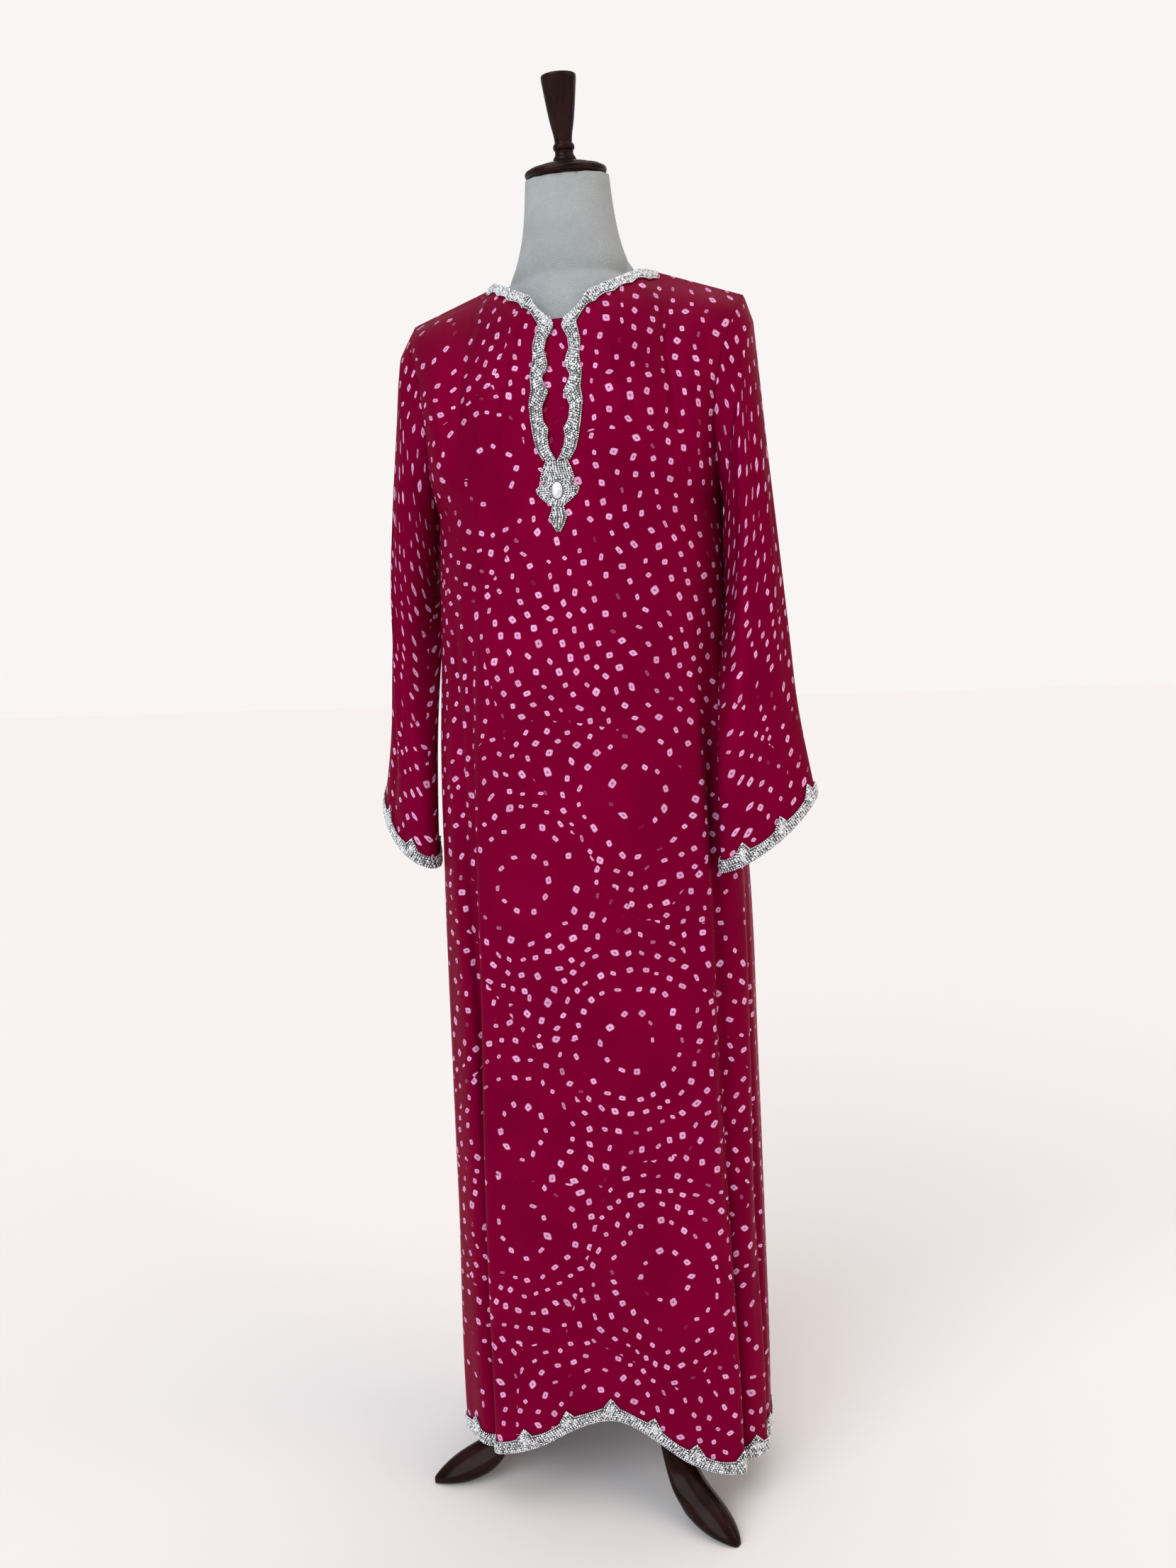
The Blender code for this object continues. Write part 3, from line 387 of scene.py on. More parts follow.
def top_edge(front, side, shares):
    """Shoulder seam and neckline of one half: straight seam, then the curve of the neckline."""
    if front:
        neckline = [NECK_POINT, *NECKLINE_FRONT, (KEYHOLE[-1][1], CENTRE_FRONT[-1][1], KEYHOLE[-1][0])]
        stops = FRONT_TOP_SHARES
    else:
        neckline = [NECK_POINT, *NECKLINE_BACK]
        stops = BACK_TOP_SHARES
    seam_part = np.clip(shares / stops[1], 0.0, 1.0)[:, None]
    seam = np.asarray(SHOULDER_TIP) * (1.0 - seam_part) + np.asarray(NECK_POINT) * seam_part
    line = np.stack([np.interp(shares, stops[1:], [p[k] for p in neckline]) for k in range(3)], axis=-1)
    edge = np.where((shares <= stops[1])[:, None], seam, line)
    edge[:, 0] *= side
    return edge


def upper_grid(front, side, columns, rises):
    """Chest or back of one half: a patch between its four edges, rounded towards the shoulder."""
    shares = np.linspace(0.0, 1.0, len(columns))
    bottom = np.column_stack([folded_ring(front, UNDERARM, columns), np.full(len(columns), UNDERARM)])
    top = top_edge(front, side, shares)
    line = armhole(front)
    outer = path_through(np.linspace(0.0, 1.0, len(line)), line, rises)
    outer[:, 0] *= side
    table = CENTRE_FRONT if front else CENTRE_BACK
    z = UNDERARM + (table[-1][0] - UNDERARM) * rises
    centre = np.stack([np.zeros_like(z), table_curve(table, z), z], axis=-1)
    if front:
        centre[:, 0] = side * table_line(KEYHOLE, z, left=0.0)
    u = shares[None, :, None]
    t = rises[:, None, None]
    ruled = (1 - t) * bottom[None] + t * top[None]
    at_arm = outer[:, None] - ruled[:, :1]
    at_centre = centre[:, None] - ruled[:, -1:]
    patch = ruled + at_arm * (1.0 - ease(u)) + at_centre * ease(u)
    rounded = ROUNDING_SCALE * u[..., 0] * (1 - u[..., 0]) ** 2 * t[..., 0] * (1 - t[..., 0])
    patch[..., 1] += (-1 if front else 1) * SHOULDER_ROUNDING * rounded
    return patch


def half_columns(front, side):
    """The solid's own columns of one half, from its side seam to the centre."""
    columns = set(np.round(np.linspace(0.0, 0.5, 9), 5))
    for fold in FRONT_FOLDS if front else BACK_FOLDS:
        line, width = fold[1], fold[3]
        place = line if side < 0 else 1.0 - line
        if place > 0.5:
            continue
        lean = fold[6] * (1 if side < 0 else -1)
        middle = place + lean * width * VALLEY_SHIFT / 2
        near = middle + width * np.linspace(-FOLD_REACH, FOLD_REACH, 8)
        columns = {c for c in columns if abs(c - middle) > CLEAR_REACH * width or c in (0.0, 0.5)}
        columns |= {round(float(c), 5) for c in near if EDGE_SPARE < c < 0.5 - EDGE_SPARE}
    columns = np.array(sorted(columns))
    return columns if side < 0 else 1.0 - columns


def body_half(front, side, steps):
    """Grid of one half of the front or back, from the hem to the top."""
    columns = finer(half_columns(front, side), steps)
    low = table_curve(FRONT_HEM if front else BACK_HEM, columns)
    # the same levels on both halves, so that they meet at the centre
    levels = np.linspace(HEM_LEVEL - 1.0, UNDERARM, BODY_LEVELS)
    rings = np.array([folded_ring(front, z, columns) for z in levels])
    shares = np.linspace(0.0, 1.0, 26 * steps, endpoint=False)
    heights = low + (UNDERARM - low) * shares[:, None]
    lower = np.stack([np.stack([np.interp(heights[:, j], levels, rings[:, j, k]) for k in (0, 1)]
                               + [heights[:, j]], axis=-1) for j in range(len(columns))], axis=1)
    if front:
        top = KEYHOLE[-1][0] - UNDERARM
        rises = finer([0.0, 0.105] + [(z - UNDERARM) / top for z, _ in KEYHOLE], steps)
    else:
        rises = np.append(finer(np.linspace(0.0, BACK_BAND_START, 7), 2 * steps),
                          np.linspace(BACK_BAND_START, 1.0, steps + 1)[1:])
    grid = np.concatenate([lower, upper_grid(front, side, columns, rises)])
    shift = np.zeros(grid.shape[:2])
    shift[:, 0] = 0.5 * GAP / CM
    shift[-1, np.abs(grid[-1, :, 1] - SEAM_Y) < 0.01] = 0.5 * GAP / CM
    grid[..., 1] += -shift if front else shift
    return grid


def sleeve_table(share):
    """Outer point, inner point and half thickness of a sleeve at a share of its way down."""
    stops = np.linspace(0.0, 1.0, len(SLEEVE))
    outer, inner, thick = zip(*SLEEVE)
    return (path_through(stops, outer, share), path_through(stops, inner, share),
            curve_through(stops, thick, share))


def armhole_loop(angles):
    """The whole armhole as a loop, moved out by the seam gap and, under the arm, by the wall."""
    front, back = armhole(True), armhole(False)
    loop = [front[-1], *reversed(back[1:-1]), back[0], *front[1:-1], front[-1]]
    points = path_through(np.linspace(0.0, 2.0 * math.pi, len(loop)), loop, angles % (2.0 * math.pi))
    low = ease((1.0 - np.cos(angles)) / 2.0)
    beside = np.where(np.sin(angles) > 0.0, BACK_CLEARANCE, FRONT_CLEARANCE) * np.abs(np.sin(angles))
    points[:, 0] += GAP / CM + UNDERARM_CLEARANCE * low + beside
    return points


def sleeve_grid(side, around, rows_down):
    """Grid of a sleeve from the armhole to the cuff; its columns start and end at the underarm line."""
    angles = math.pi + np.linspace(0.0, 2.0 * math.pi, around, endpoint=False)
    start = armhole_loop(angles)
    start[:, 0] *= side
    rows = []
    for share in np.linspace(0.0, 1.0, rows_down):
        outer, inner, thick = sleeve_table(share)
        back, inner_out, outer_out = np.array(SLEEVE_HANG[side]) * ease(share / HANG_REACHED)
        outer = outer + (outer_out, back, 0.0)
        lean = SLEEVE_LEAN[side] * math.sin(math.pi * min(1.0, share / LEAN_REACH) ** LEAN_POWER)
        inner = inner + (inner_out - lean, back, 0.0)
        span = outer - inner
        across = unit(np.array([span[1], -span[0], 0.0]))
        ring = ((outer + inner) / 2 + span / 2 * np.cos(angles)[:, None]
                - across * thick * np.sin(angles)[:, None])
        ring[:, 0] *= side
        rows.append(ring)
    cap = [start + (rows[0] - start) * share for share in np.linspace(0.0, 1.0, CAP_ROWS)[:-1]]
    # the seam allowance lies under the edge of the panels
    tuck = start.copy()
    tuck[:, 0] -= side * TUCK[0]
    tuck[:, 1:] += (np.array(ARM_MIDDLE) - tuck[:, 1:]) * TUCK[1]
    grid = np.array([tuck] + cap + rows)
    for row, share in ((-1, 1.0), (-2, 0.5)):
        grid[row, :, 2] -= share * CUFF_SAG * np.sin(angles) ** 2
    return grid


def half_map(grid, side):
    """Place of each point on the flat panel: the run of its row from the centre, and its height."""
    across = run_along(grid[:, ::-1])[:, ::-1] * side + grid[:, -1:, 0]
    return np.stack([across, grid[..., 2]], axis=-1)


def sleeve_map(grid):
    """Place of each point on the flat sleeve: 0 across at its outer line, and its way down.

    On either side the columns run from the underarm by the back to the front.
    """
    run = run_along(closed_columns(grid))
    across = (run - run[:, [grid.shape[1] // 2]]) * SLEEVE_DRAWN
    down = run_along(grid.mean(axis=1))
    return np.stack([across, np.broadcast_to(-down[:, None], across.shape)], axis=-1)


def own_normals(grid, closed):
    """Normals of a grid as it is wound, not of unit length."""
    if closed:
        wide = np.concatenate([grid[:, -1:], grid, grid[:, :1]], axis=1)
        across = np.gradient(wide, axis=1)[:, 1:-1]
    else:
        across = np.gradient(grid, axis=1)
    return np.cross(across, np.gradient(grid, axis=0))


def outward(grid, centres, closed=False):
    """Unit normals of a grid of points, turned away from the given centres."""
    normal = unit(own_normals(grid, closed))
    return normal * np.sign((normal * (grid - centres)).sum())


def facing(grid, normals, closed=False):
    """+1 where the grid's own winding already faces outwards, otherwise -1."""
    return 1 if (own_normals(grid, closed) * normals).sum() > 0.0 else -1


def crease_height(places, creases):
    """How far the cloth lies out of its plain form at each place, in soft uneven ridges and troughs."""
    height = np.zeros(places.shape[:-1])
    for number, (x0, z0, x1, z1, width, depth) in enumerate(creases):
        start, way = np.array([x0, z0]), np.array([x1 - x0, z1 - z0])
        length = np.linalg.norm(way)
        way = way / length
        rel = places - start
        t = (rel @ way) / length
        wave = 0.4 * min(width, 1.2) * np.sin(5.3 * t + 1.9 * number)
        aside = rel @ np.array([way[1], -way[0]]) - wave
        spread = width * (0.75 + 0.5 * ease(t))
        fade = ease(t / 0.35) * ease((1.0 - t) / 0.4)
        height += depth * fade * np.exp(-(aside / spread) ** 2)
    return height


# ---------------------------------------------------------------- meshes
def deselect():
    """Leaves edit mode and selects nothing."""
    if bpy.context.object and bpy.context.object.mode != "OBJECT":
        bpy.ops.object.mode_set(mode="OBJECT")
    bpy.ops.object.select_all(action="DESELECT")


def pick(obj):
    """Selects the object alone and makes it active."""
    deselect()
    obj.select_set(True)
    bpy.context.view_layer.objects.active = obj


def new_piece(name, mesh, *materials):
    """An object of the mesh with its materials, in the scene."""
    obj = bpy.data.objects.new(name, mesh)
    bpy.context.scene.collection.objects.link(obj)
    for material in materials:
        mesh.materials.append(material)
    return obj


def to_row(points):
    """Garment centimetres to metres in the part's frame."""
    return np.asarray(points) * CM + np.array(AXIS)


def cloth_piece(name, sheets, material, closed=False):
    """A thin cloth shell: sheets of points with their flat maps made one, then thickened outwards."""
    verts, faces, corners, base = [], [], [], 0
    for grid, flat, normals in sheets:
        rows, cols = grid.shape[:2]
        verts.append(to_row(grid).reshape(-1, 3))
        i, j = np.meshgrid(np.arange(rows - 1), np.arange(cols if closed else cols - 1), indexing="ij")
        k = (j + 1) % cols
        face = np.stack([i * cols + j, i * cols + k, (i + 1) * cols + k, (i + 1) * cols + j], -1) + base
        flat_cols = flat.shape[1]
        index = np.stack([i * flat_cols + j, i * flat_cols + j + 1, (i + 1) * flat_cols + j + 1,
                          (i + 1) * flat_cols + j], -1)
        uv = flat.reshape(-1, 2)[index] * CM
        if facing(grid, normals, closed) < 0:
            face, uv = face[..., ::-1], uv[..., ::-1, :]
        faces.append(face.reshape(-1, 4))
        corners.append(uv.reshape(-1, 2))
        base += rows * cols
    mesh = bpy.data.meshes.new(name)
    mesh.from_pydata(np.concatenate(verts).tolist(), [], np.concatenate(faces).tolist())
    layer = mesh.uv_layers.new(name="UVMap")
    layer.data.foreach_set("uv", np.concatenate(corners).ravel())
    mesh.shade_smooth()
    obj = new_piece(name, mesh, material)
    pick(obj)
    bpy.ops.object.mode_set(mode="EDIT")
    bpy.ops.mesh.select_all(action="SELECT")
    bpy.ops.mesh.remove_doubles(threshold=1e-6)
    bpy.ops.object.mode_set(mode="OBJECT")
    thicken = obj.modifiers.new("Wall", "SOLIDIFY")
    thicken.thickness = WALL
    thicken.offset = 1.0
    bpy.ops.object.modifier_apply(modifier="Wall")
    return obj


def declare_sheet(sheets, closed=False):
    """Measures a cloth piece's flat cut over its rows and columns; the width, length and area are not kept.
    """
    width, length, area = 0.0, 0.0, 0.0
    for grid, _, _ in sheets:
        shape = closed_columns(grid) if closed else grid
        width += np.linalg.norm(np.diff(shape, axis=1), axis=2).sum(axis=1).max()
        length = max(length, np.linalg.norm(np.diff(shape, axis=0), axis=2).sum(axis=0).max())
        side = np.diff(shape, axis=1)[:-1]
        up = np.diff(shape, axis=0)[:, :-1]
        area += np.linalg.norm(np.cross(side, up), axis=2).sum()


class Band:
    """The stretch of cloth along an edge: places are given as the run along it and the way from it."""

    def __init__(self, points, normals):
        self.points, self.normals = points, normals
        self.run, self.away = run_along(points[:, 0]), run_along(points)

    def at(self, run, away):
        """Point on the cloth, the direction along the edge, and the outward normal."""
        place = np.interp(run, self.run, np.arange(len(self.run)))
        i = min(int(place), len(self.run) - 2)
        f = place - i
        lengths = (1 - f) * self.away[i] + f * self.away[i + 1]
        step = np.interp(away, lengths, np.arange(len(lengths)))
        j = min(int(step), len(lengths) - 2)
        g = step - j
        corner = [(i, j, (1 - f) * (1 - g)), (i + 1, j, f * (1 - g)), (i, j + 1, (1 - f) * g),
                  (i + 1, j + 1, f * g)]
        point = sum(self.points[a, b] * w for a, b, w in corner)
        normal = unit(sum(self.normals[a, b] * w for a, b, w in corner))
        along = self.points[i + 1, j] - self.points[i, j]
        along = unit(along - normal * (along @ normal))
        return point, along, normal


# how each bead of unit size is turned: sides, then (radius, height) from its foot up
BEAD_TURNING = {
    "round": (6, ((0.83, -0.55), (0.97, 0.25), (0.52, 0.85))),
    "long": (6, ((0.62, -1.0), (1.0, -0.8), (1.0, 0.8), (0.62, 1.0))),
    "flat": (8, ((1.0, 0.0), (0.45, 0.22), (0.12, 0.14))),
}


def bead_shape(kind):
    """Vertices and faces of one bead, turned once and then copied for each bead of a trim."""
    sides, profile = BEAD_TURNING[kind]
    bead = turned(f"bead_{kind}", profile, sides)
    verts = np.array([vert.co for vert in bead.data.vertices])
    faces = [tuple(face.vertices) for face in bead.data.polygons]
    mesh = bead.data
    bpy.data.objects.remove(bead)
    bpy.data.meshes.remove(mesh)
    return verts, faces


BEADS = {}
# material slots of a trim, and the finish of the beads: name, colour (none: the silver of the panel),
# share of it on the darkest bead, metallic, roughness, coat
TAPE, SILVER, CRYSTAL, SEQUIN = range(4)
BEAD_FINISHES = (
    ("silver beads", None, 0.50, 0.92, 0.20, 0.3),
    ("crystal beads", (0.76, 0.79, 0.83), 0.55, 0.35, 0.08, 0.9),
    ("sequins", (0.84, 0.82, 0.82), 0.6, 0.8, 0.14, 0.6),
)
# in bead radii: from bead to bead along an edge, in a row and from row to row
EDGE_STEP, ROW_STEP, ROW_RISE = 1.5, 1.95, 0.9
# running shares of round silver beads, crystals and sequins in the filling; the rest are long beads
SILVER_SHARE, CRYSTAL_SHARE, SEQUIN_SHARE = 0.46, 0.76, 0.88
# how far the beads stand in from the ends of a band, and over how much run its slope is read
BAND_START, BAND_END, SLOPE_RUN = 0.08, 0.04, 0.05
# the fan of long beads at a peak: how far each leans from the middle one
FAN_LEANS = (-0.95, -0.5, 0.0, 0.5, 0.95)


class Beadwork:
    """Beads and tape gathered for one trim, then made one mesh."""

    def __init__(self, seed):
        self.verts, self.faces, self.slots, self.tones, self.count = [], [], [], [], 0
        self.random = np.random.default_rng(seed)

    def add(self, verts, faces, slot):
        self.verts.append(to_row(verts))
        self.faces += [tuple(index + self.count for index in face) for face in faces]
        self.slots += [slot] * len(faces)
        self.tones += [self.random.random()] * len(faces)
        self.count += len(verts)

    def bead(self, kind, slot, place, radius, turn=0.0, length=None):
        """One bead on the cloth: place is its point, the direction along and the normal."""
        point, along, normal = place
        across = np.cross(normal, along)
        c, s = math.cos(turn), math.sin(turn)
        axis = along * c + across * s
        side = np.cross(normal, axis)
        if kind not in BEADS:
            BEADS[kind] = bead_shape(kind)
        shape, faces = BEADS[kind]
        foot = point + normal * (WALL / CM + 0.09)
        if kind == "long":
            verts = (foot + normal * radius + shape[:, 2:3] * length * axis
                     + shape[:, 0:1] * radius * side + shape[:, 1:2] * radius * normal)
        else:
            height = 0.5 * radius if kind == "flat" else 0.62 * radius
            tilt = self.random.normal(0.0, 0.16, 2) if kind == "flat" else (0.0, 0.0)
            lifted = unit(normal + axis * tilt[0] + side * tilt[1])
            verts = (foot + normal * height + shape[:, 0:1] * radius * unit(axis - lifted * (axis @ lifted))
                     + shape[:, 1:2] * radius * side + shape[:, 2:3] * radius * lifted)
        self.add(verts, faces, slot)

    def tape(self, band, runs, width_at, start=0.04):
        """The tape under the beads, as wide as the band is at each run."""
        points, steps = [], 5
        for run in runs:
            for share in np.linspace(0.0, 1.0, steps):
                point, _, normal = band.at(run, start + (width_at(run) - start) * share)
                edge = 0.02 if share in (0.0, 1.0) else 0.08
                points.append(point + normal * (WALL / CM + edge))
        self.add(np.array(points), grid_faces(len(runs), steps), TAPE)

    def make(self, name):
        mesh = bpy.data.meshes.new(name)
        mesh.from_pydata(np.concatenate(self.verts).tolist(), [], self.faces)
        mesh.polygons.foreach_set("material_index", self.slots)
        mesh.attributes.new("tone", "FLOAT", "FACE").data.foreach_set("value", self.tones)
        mesh.shade_smooth()
        obj = new_piece(name, mesh, tape_material("silver net"),
                        *(bead_material(*finish) for finish in BEAD_FINISHES))
        pick(obj)
        bpy.ops.object.mode_set(mode="EDIT")
        bpy.ops.mesh.select_all(action="SELECT")
        bpy.ops.mesh.normals_make_consistent(inside=False)
        bpy.ops.object.mode_set(mode="OBJECT")
        return obj


def bead_band(work, band, sizes, radius, lead=0.0, scallop=0.0, widths=None):
    """Fills a band with beads: edge lines, a close mixed filling, and a fan of long beads at each peak."""
    width, peak, pitch = sizes
    total = band.run[-1]
    count = max(1, round(total / pitch))
    pitch = total / count
    peaks = (np.arange(count) + 0.5) * pitch + lead * pitch

    def width_at(run):
        if widths is not None:
            return float(np.interp(run, band.run, widths))
        nearest = np.abs(peaks - run).min()
        near = max(0.0, 1.0 - nearest / (0.5 * pitch))
        return (width * (0.86 + 0.22 * near ** 2) + peak * max(0.0, 1.0 - nearest / (0.17 * pitch)) ** 0.9)

    def edge_at(run):
        nearest = np.abs(peaks - run).min()
        return 0.1 + scallop * (1.0 - math.sin(math.pi * min(1.0, nearest / (0.5 * pitch))))

    work.tape(band, np.linspace(0.0, total, max(12, int(total / 0.35))), width_at)
    random = work.random
    run = BAND_START
    while run < total - BAND_END:
        work.bead("round", SILVER, band.at(run, edge_at(run)), 0.78 * radius)
        run += EDGE_STEP * radius
    run = 0.06
    while run < total - BAND_END:
        top = width_at(run)
        slope = (width_at(min(run + SLOPE_RUN, total)) - top) / SLOPE_RUN
        work.bead("round", SILVER, band.at(run, top), 0.74 * radius)
        run += EDGE_STEP * radius / math.hypot(1.0, slope)
    step = ROW_STEP * radius
    for row in range(int((width + peak) / step)):
        run = 0.12 + (0.5 * step if row % 2 else 0.0)
        while run < total - 0.1:
            away = edge_at(run) + EDGE_STEP * radius + row * step * ROW_RISE
            if away < width_at(run) - 1.2 * radius:
                place = band.at(run + random.normal(0.0, 0.02), away + random.normal(0.0, 0.02))
                kind = random.random()
                if kind < SILVER_SHARE:
                    work.bead("round", SILVER, place, radius * random.uniform(0.85, 1.08))
                elif kind < CRYSTAL_SHARE:
                    work.bead("round", CRYSTAL, place, radius * random.uniform(0.95, 1.2))
                elif kind < SEQUIN_SHARE:
                    work.bead("flat", SEQUIN, place, radius * 1.35)
                else:
                    work.bead("long", SILVER, place, 0.55 * radius, random.uniform(0.0, math.pi),
                              1.25 * radius)
            run += step
    for peak_run in peaks:
        if not peak or not 0.6 < peak_run < total - 0.6:
            continue
        for lean in FAN_LEANS:
            reach = 0.62 * width + (0.3 + 0.25 * math.cos(lean * 1.5)) * peak
            place = band.at(peak_run + 0.36 * math.sin(lean), reach)
            work.bead("long", SILVER, place, 0.6 * radius, math.pi / 2 - lean * band_turn(band),
                      2.1 * radius)
        work.bead("round", CRYSTAL, band.at(peak_run, 0.58 * width), 1.45 * radius)
        work.bead("round", SILVER, band.at(peak_run, width + peak), 1.0 * radius)


def band_turn(band):
    """+1 where the direction across the normal points away from the edge, -1 where it points to it."""
    point, along, normal = band.at(band.run[-1] / 2, 0.2)
    further = band.at(band.run[-1] / 2, 0.6)[0] - point
    return 1.0 if np.cross(normal, along) @ further > 0.0 else -1.0


# ---------------------------------------------------------------- materials
class Graph:
    """Short way to add nodes to one tree and link them."""

    def __init__(self, tree):
        self.tree = tree

    def add(self, kind, **settings):
        node = self.tree.nodes.new(kind)
        for key, value in settings.items():
            setattr(node, key, value)
        return node

    def plug(self, socket, value):
        if isinstance(value, bpy.types.NodeSocket):
            self.tree.links.new(value, socket)
        elif value is not None:
            socket.default_value = value

    def fill(self, node, **values):
        """Links or sets the node's inputs, each by its name with _ for a space."""
        for key, value in values.items():
            self.plug(node.inputs[key.replace("_", " ")], value)
        return node

    def math(self, operation, a, b=None, c=None):
        node = self.add("ShaderNodeMath", operation=operation)
        for socket, value in zip(node.inputs, (a, b, c)):
            self.plug(socket, value)
        return node.outputs[0]

    def plus(self, a, b):
        return self.math("ADD", a, b)

    def minus(self, a, b):
        return self.math("SUBTRACT", a, b)

    def times(self, a, b):
        return self.math("MULTIPLY", a, b)

    def over(self, a, b):
        return self.math("DIVIDE", a, b)

    def vector(self, operation, a, b=None, scale=None):
        node = self.add("ShaderNodeVectorMath", operation=operation)
        self.plug(node.inputs[0], a)
        self.plug(node.inputs[1], b)
        self.plug(node.inputs[3], scale)
        return node.outputs["Value" if operation in ("LENGTH", "DISTANCE", "DOT_PRODUCT") else "Vector"]

    def mix(self, factor, a, b, kind="RGBA"):
        node = self.add("ShaderNodeMix", data_type=kind)
        first = {"FLOAT": 2, "VECTOR": 4, "RGBA": 6}[kind]
        self.plug(node.inputs[0], factor)
        self.plug(node.inputs[first], a)
        self.plug(node.inputs[first + 1], b)
        return node.outputs[{"FLOAT": 0, "VECTOR": 1, "RGBA": 2}[kind]]

    def smooth(self, value, low, high):
        """0 below low and 1 above high, or the other way round where low is the higher."""
        node = self.add("ShaderNodeMapRange", interpolation_type="SMOOTHSTEP")
        return self.fill(node, Value=value, From_Min=low, From_Max=high).outputs["Result"]

    def spread(self, value, low, high):
        """A 0 to 1 value spread over low to high."""
        return self.math("MULTIPLY_ADD", value, high - low, low)

    def noise(self, vector, scale, detail=2.0, roughness=0.5):
        node = self.add("ShaderNodeTexNoise")
        return self.fill(node, Vector=vector, Scale=scale, Detail=detail, Roughness=roughness).outputs["Fac"]

    def random(self, vector):
        node = self.add("ShaderNodeTexWhiteNoise", noise_dimensions="3D")
        self.plug(node.inputs["Vector"], vector)
        return node.outputs["Value"], node.outputs["Color"]

    def split(self, vector):
        node = self.add("ShaderNodeSeparateXYZ")
        self.plug(node.inputs[0], vector)
        return node.outputs

    def join(self, x, y, z):
        node = self.add("ShaderNodeCombineXYZ")
        for socket, value in zip(node.inputs, (x, y, z)):
            self.plug(socket, value)
        return node.outputs[0]

    def group(self, tree, **values):
        return self.fill(self.add("ShaderNodeGroup", node_tree=tree), **values).outputs

    def bump(self, height, strength, distance):
        node = self.add("ShaderNodeBump")
        return self.fill(node, Strength=strength, Distance=distance, Height=height).outputs["Normal"]

    def object_place(self):
        return self.add("ShaderNodeTexCoord").outputs["Object"]


def shared_group(name, inputs, outputs):
    """The function fills a shader group of this name when it is first asked for."""
    kinds = {"float": "NodeSocketFloat", "vector": "NodeSocketVector"}

    def wrap(fill):
        def find():
            tree = bpy.data.node_groups.get(name)
            if tree:
                return tree
            tree = bpy.data.node_groups.new(name, "ShaderNodeTree")
            for side, sockets in (("INPUT", inputs), ("OUTPUT", outputs)):
                for label, kind in sockets.items():
                    tree.interface.new_socket(label, in_out=side, socket_type=kinds[kind])
            g = Graph(tree)
            fill(g, g.add("NodeGroupInput").outputs, g.add("NodeGroupOutput").inputs)
            return tree
        return find
    return wrap


# rings of dots: radius of the small one, where its reach ends, and radius of the first one outside
SMALL_RING, RING_BREAK, FIRST_RING = 3.2, 4.9, 6.6
# how square a dot is
DOT_POWER = 3.6


@shared_group("Tied dots", {"Offset": "vector", "Spacing": "float", "Size": "float"},
              {"Dots": "float", "Eyes": "float"})
def tied_dots_group(g, given, result):
    """Rings of small tied dots round a middle: offset from it in centimetres, with its number as z."""
    offset, spacing, size = given["Offset"], given["Spacing"], given["Size"]
    seed = g.split(offset)[2]
    wobble = g.fill(g.add("ShaderNodeTexNoise"), Vector=offset, Scale=0.16, Detail=1.0)
    moved = g.vector("ADD", offset, g.vector("SCALE", g.vector("SUBTRACT", wobble.outputs["Color"],
                                                                (0.5, 0.5, 0.5)), scale=2.6))
    x, y, _ = g.split(moved)
    flat = g.join(x, y, 0.0)
    radius = g.vector("LENGTH", flat)
    # one small ring, then a plain round, then rings at the spacing
    ring = g.math("MAXIMUM", g.math("ROUND", g.over(g.minus(radius, FIRST_RING), spacing)), 0.0)
    outer = g.math("MULTIPLY_ADD", ring, spacing, FIRST_RING)
    inside = g.math("LESS_THAN", radius, RING_BREAK)
    ring_radius = g.mix(inside, outer, SMALL_RING, "FLOAT")
    around = g.times(ring_radius, 2.0 * math.pi)
    shift, _ = g.random(g.join(ring_radius, seed, 3.7))
    apart = g.times(spacing, g.mix(inside, g.spread(shift, 0.80, 1.06), 0.95, "FLOAT"))
    count = g.math("ROUND", g.over(around, apart))
    turned = g.math("MULTIPLY_ADD", g.math("ARCTAN2", y, x), 0.5 / math.pi, shift)
    place = g.times(turned, count)
    number = g.math("FLOOR", place)
    along = g.times(g.minus(g.minus(place, number), 0.5), g.over(around, count))
    across = g.minus(radius, ring_radius)
    chance, tint = g.random(g.join(number, ring_radius, seed))
    a, b, c = g.split(tint)
    along = g.plus(along, g.spread(a, -0.24, 0.24))
    across = g.plus(across, g.spread(b, -0.20, 0.20))
    angle = g.spread(c, -0.5, 0.5)
    cos, sin = g.math("COSINE", angle), g.math("SINE", angle)
    p = g.math("ABSOLUTE", g.minus(g.times(along, cos), g.times(across, sin)))
    q = g.math("ABSOLUTE", g.plus(g.times(along, sin), g.times(across, cos)))
    half = g.times(size, g.spread(chance, 0.44, 0.60))
    narrow = g.times(half, g.spread(a, 0.58, 0.95))
    rim = g.math("POWER", g.plus(g.math("POWER", g.over(p, half), DOT_POWER),
                                 g.math("POWER", g.over(q, narrow), DOT_POWER)), 1.0 / DOT_POWER)
    faint = g.times(g.smooth(chance, 0.01, 0.16), g.spread(b, 0.74, 1.0))
    g.plug(result["Dots"], g.times(g.smooth(rim, 1.12, 0.86), faint))
    g.plug(result["Eyes"], g.smooth(rim, 0.38, 0.18))


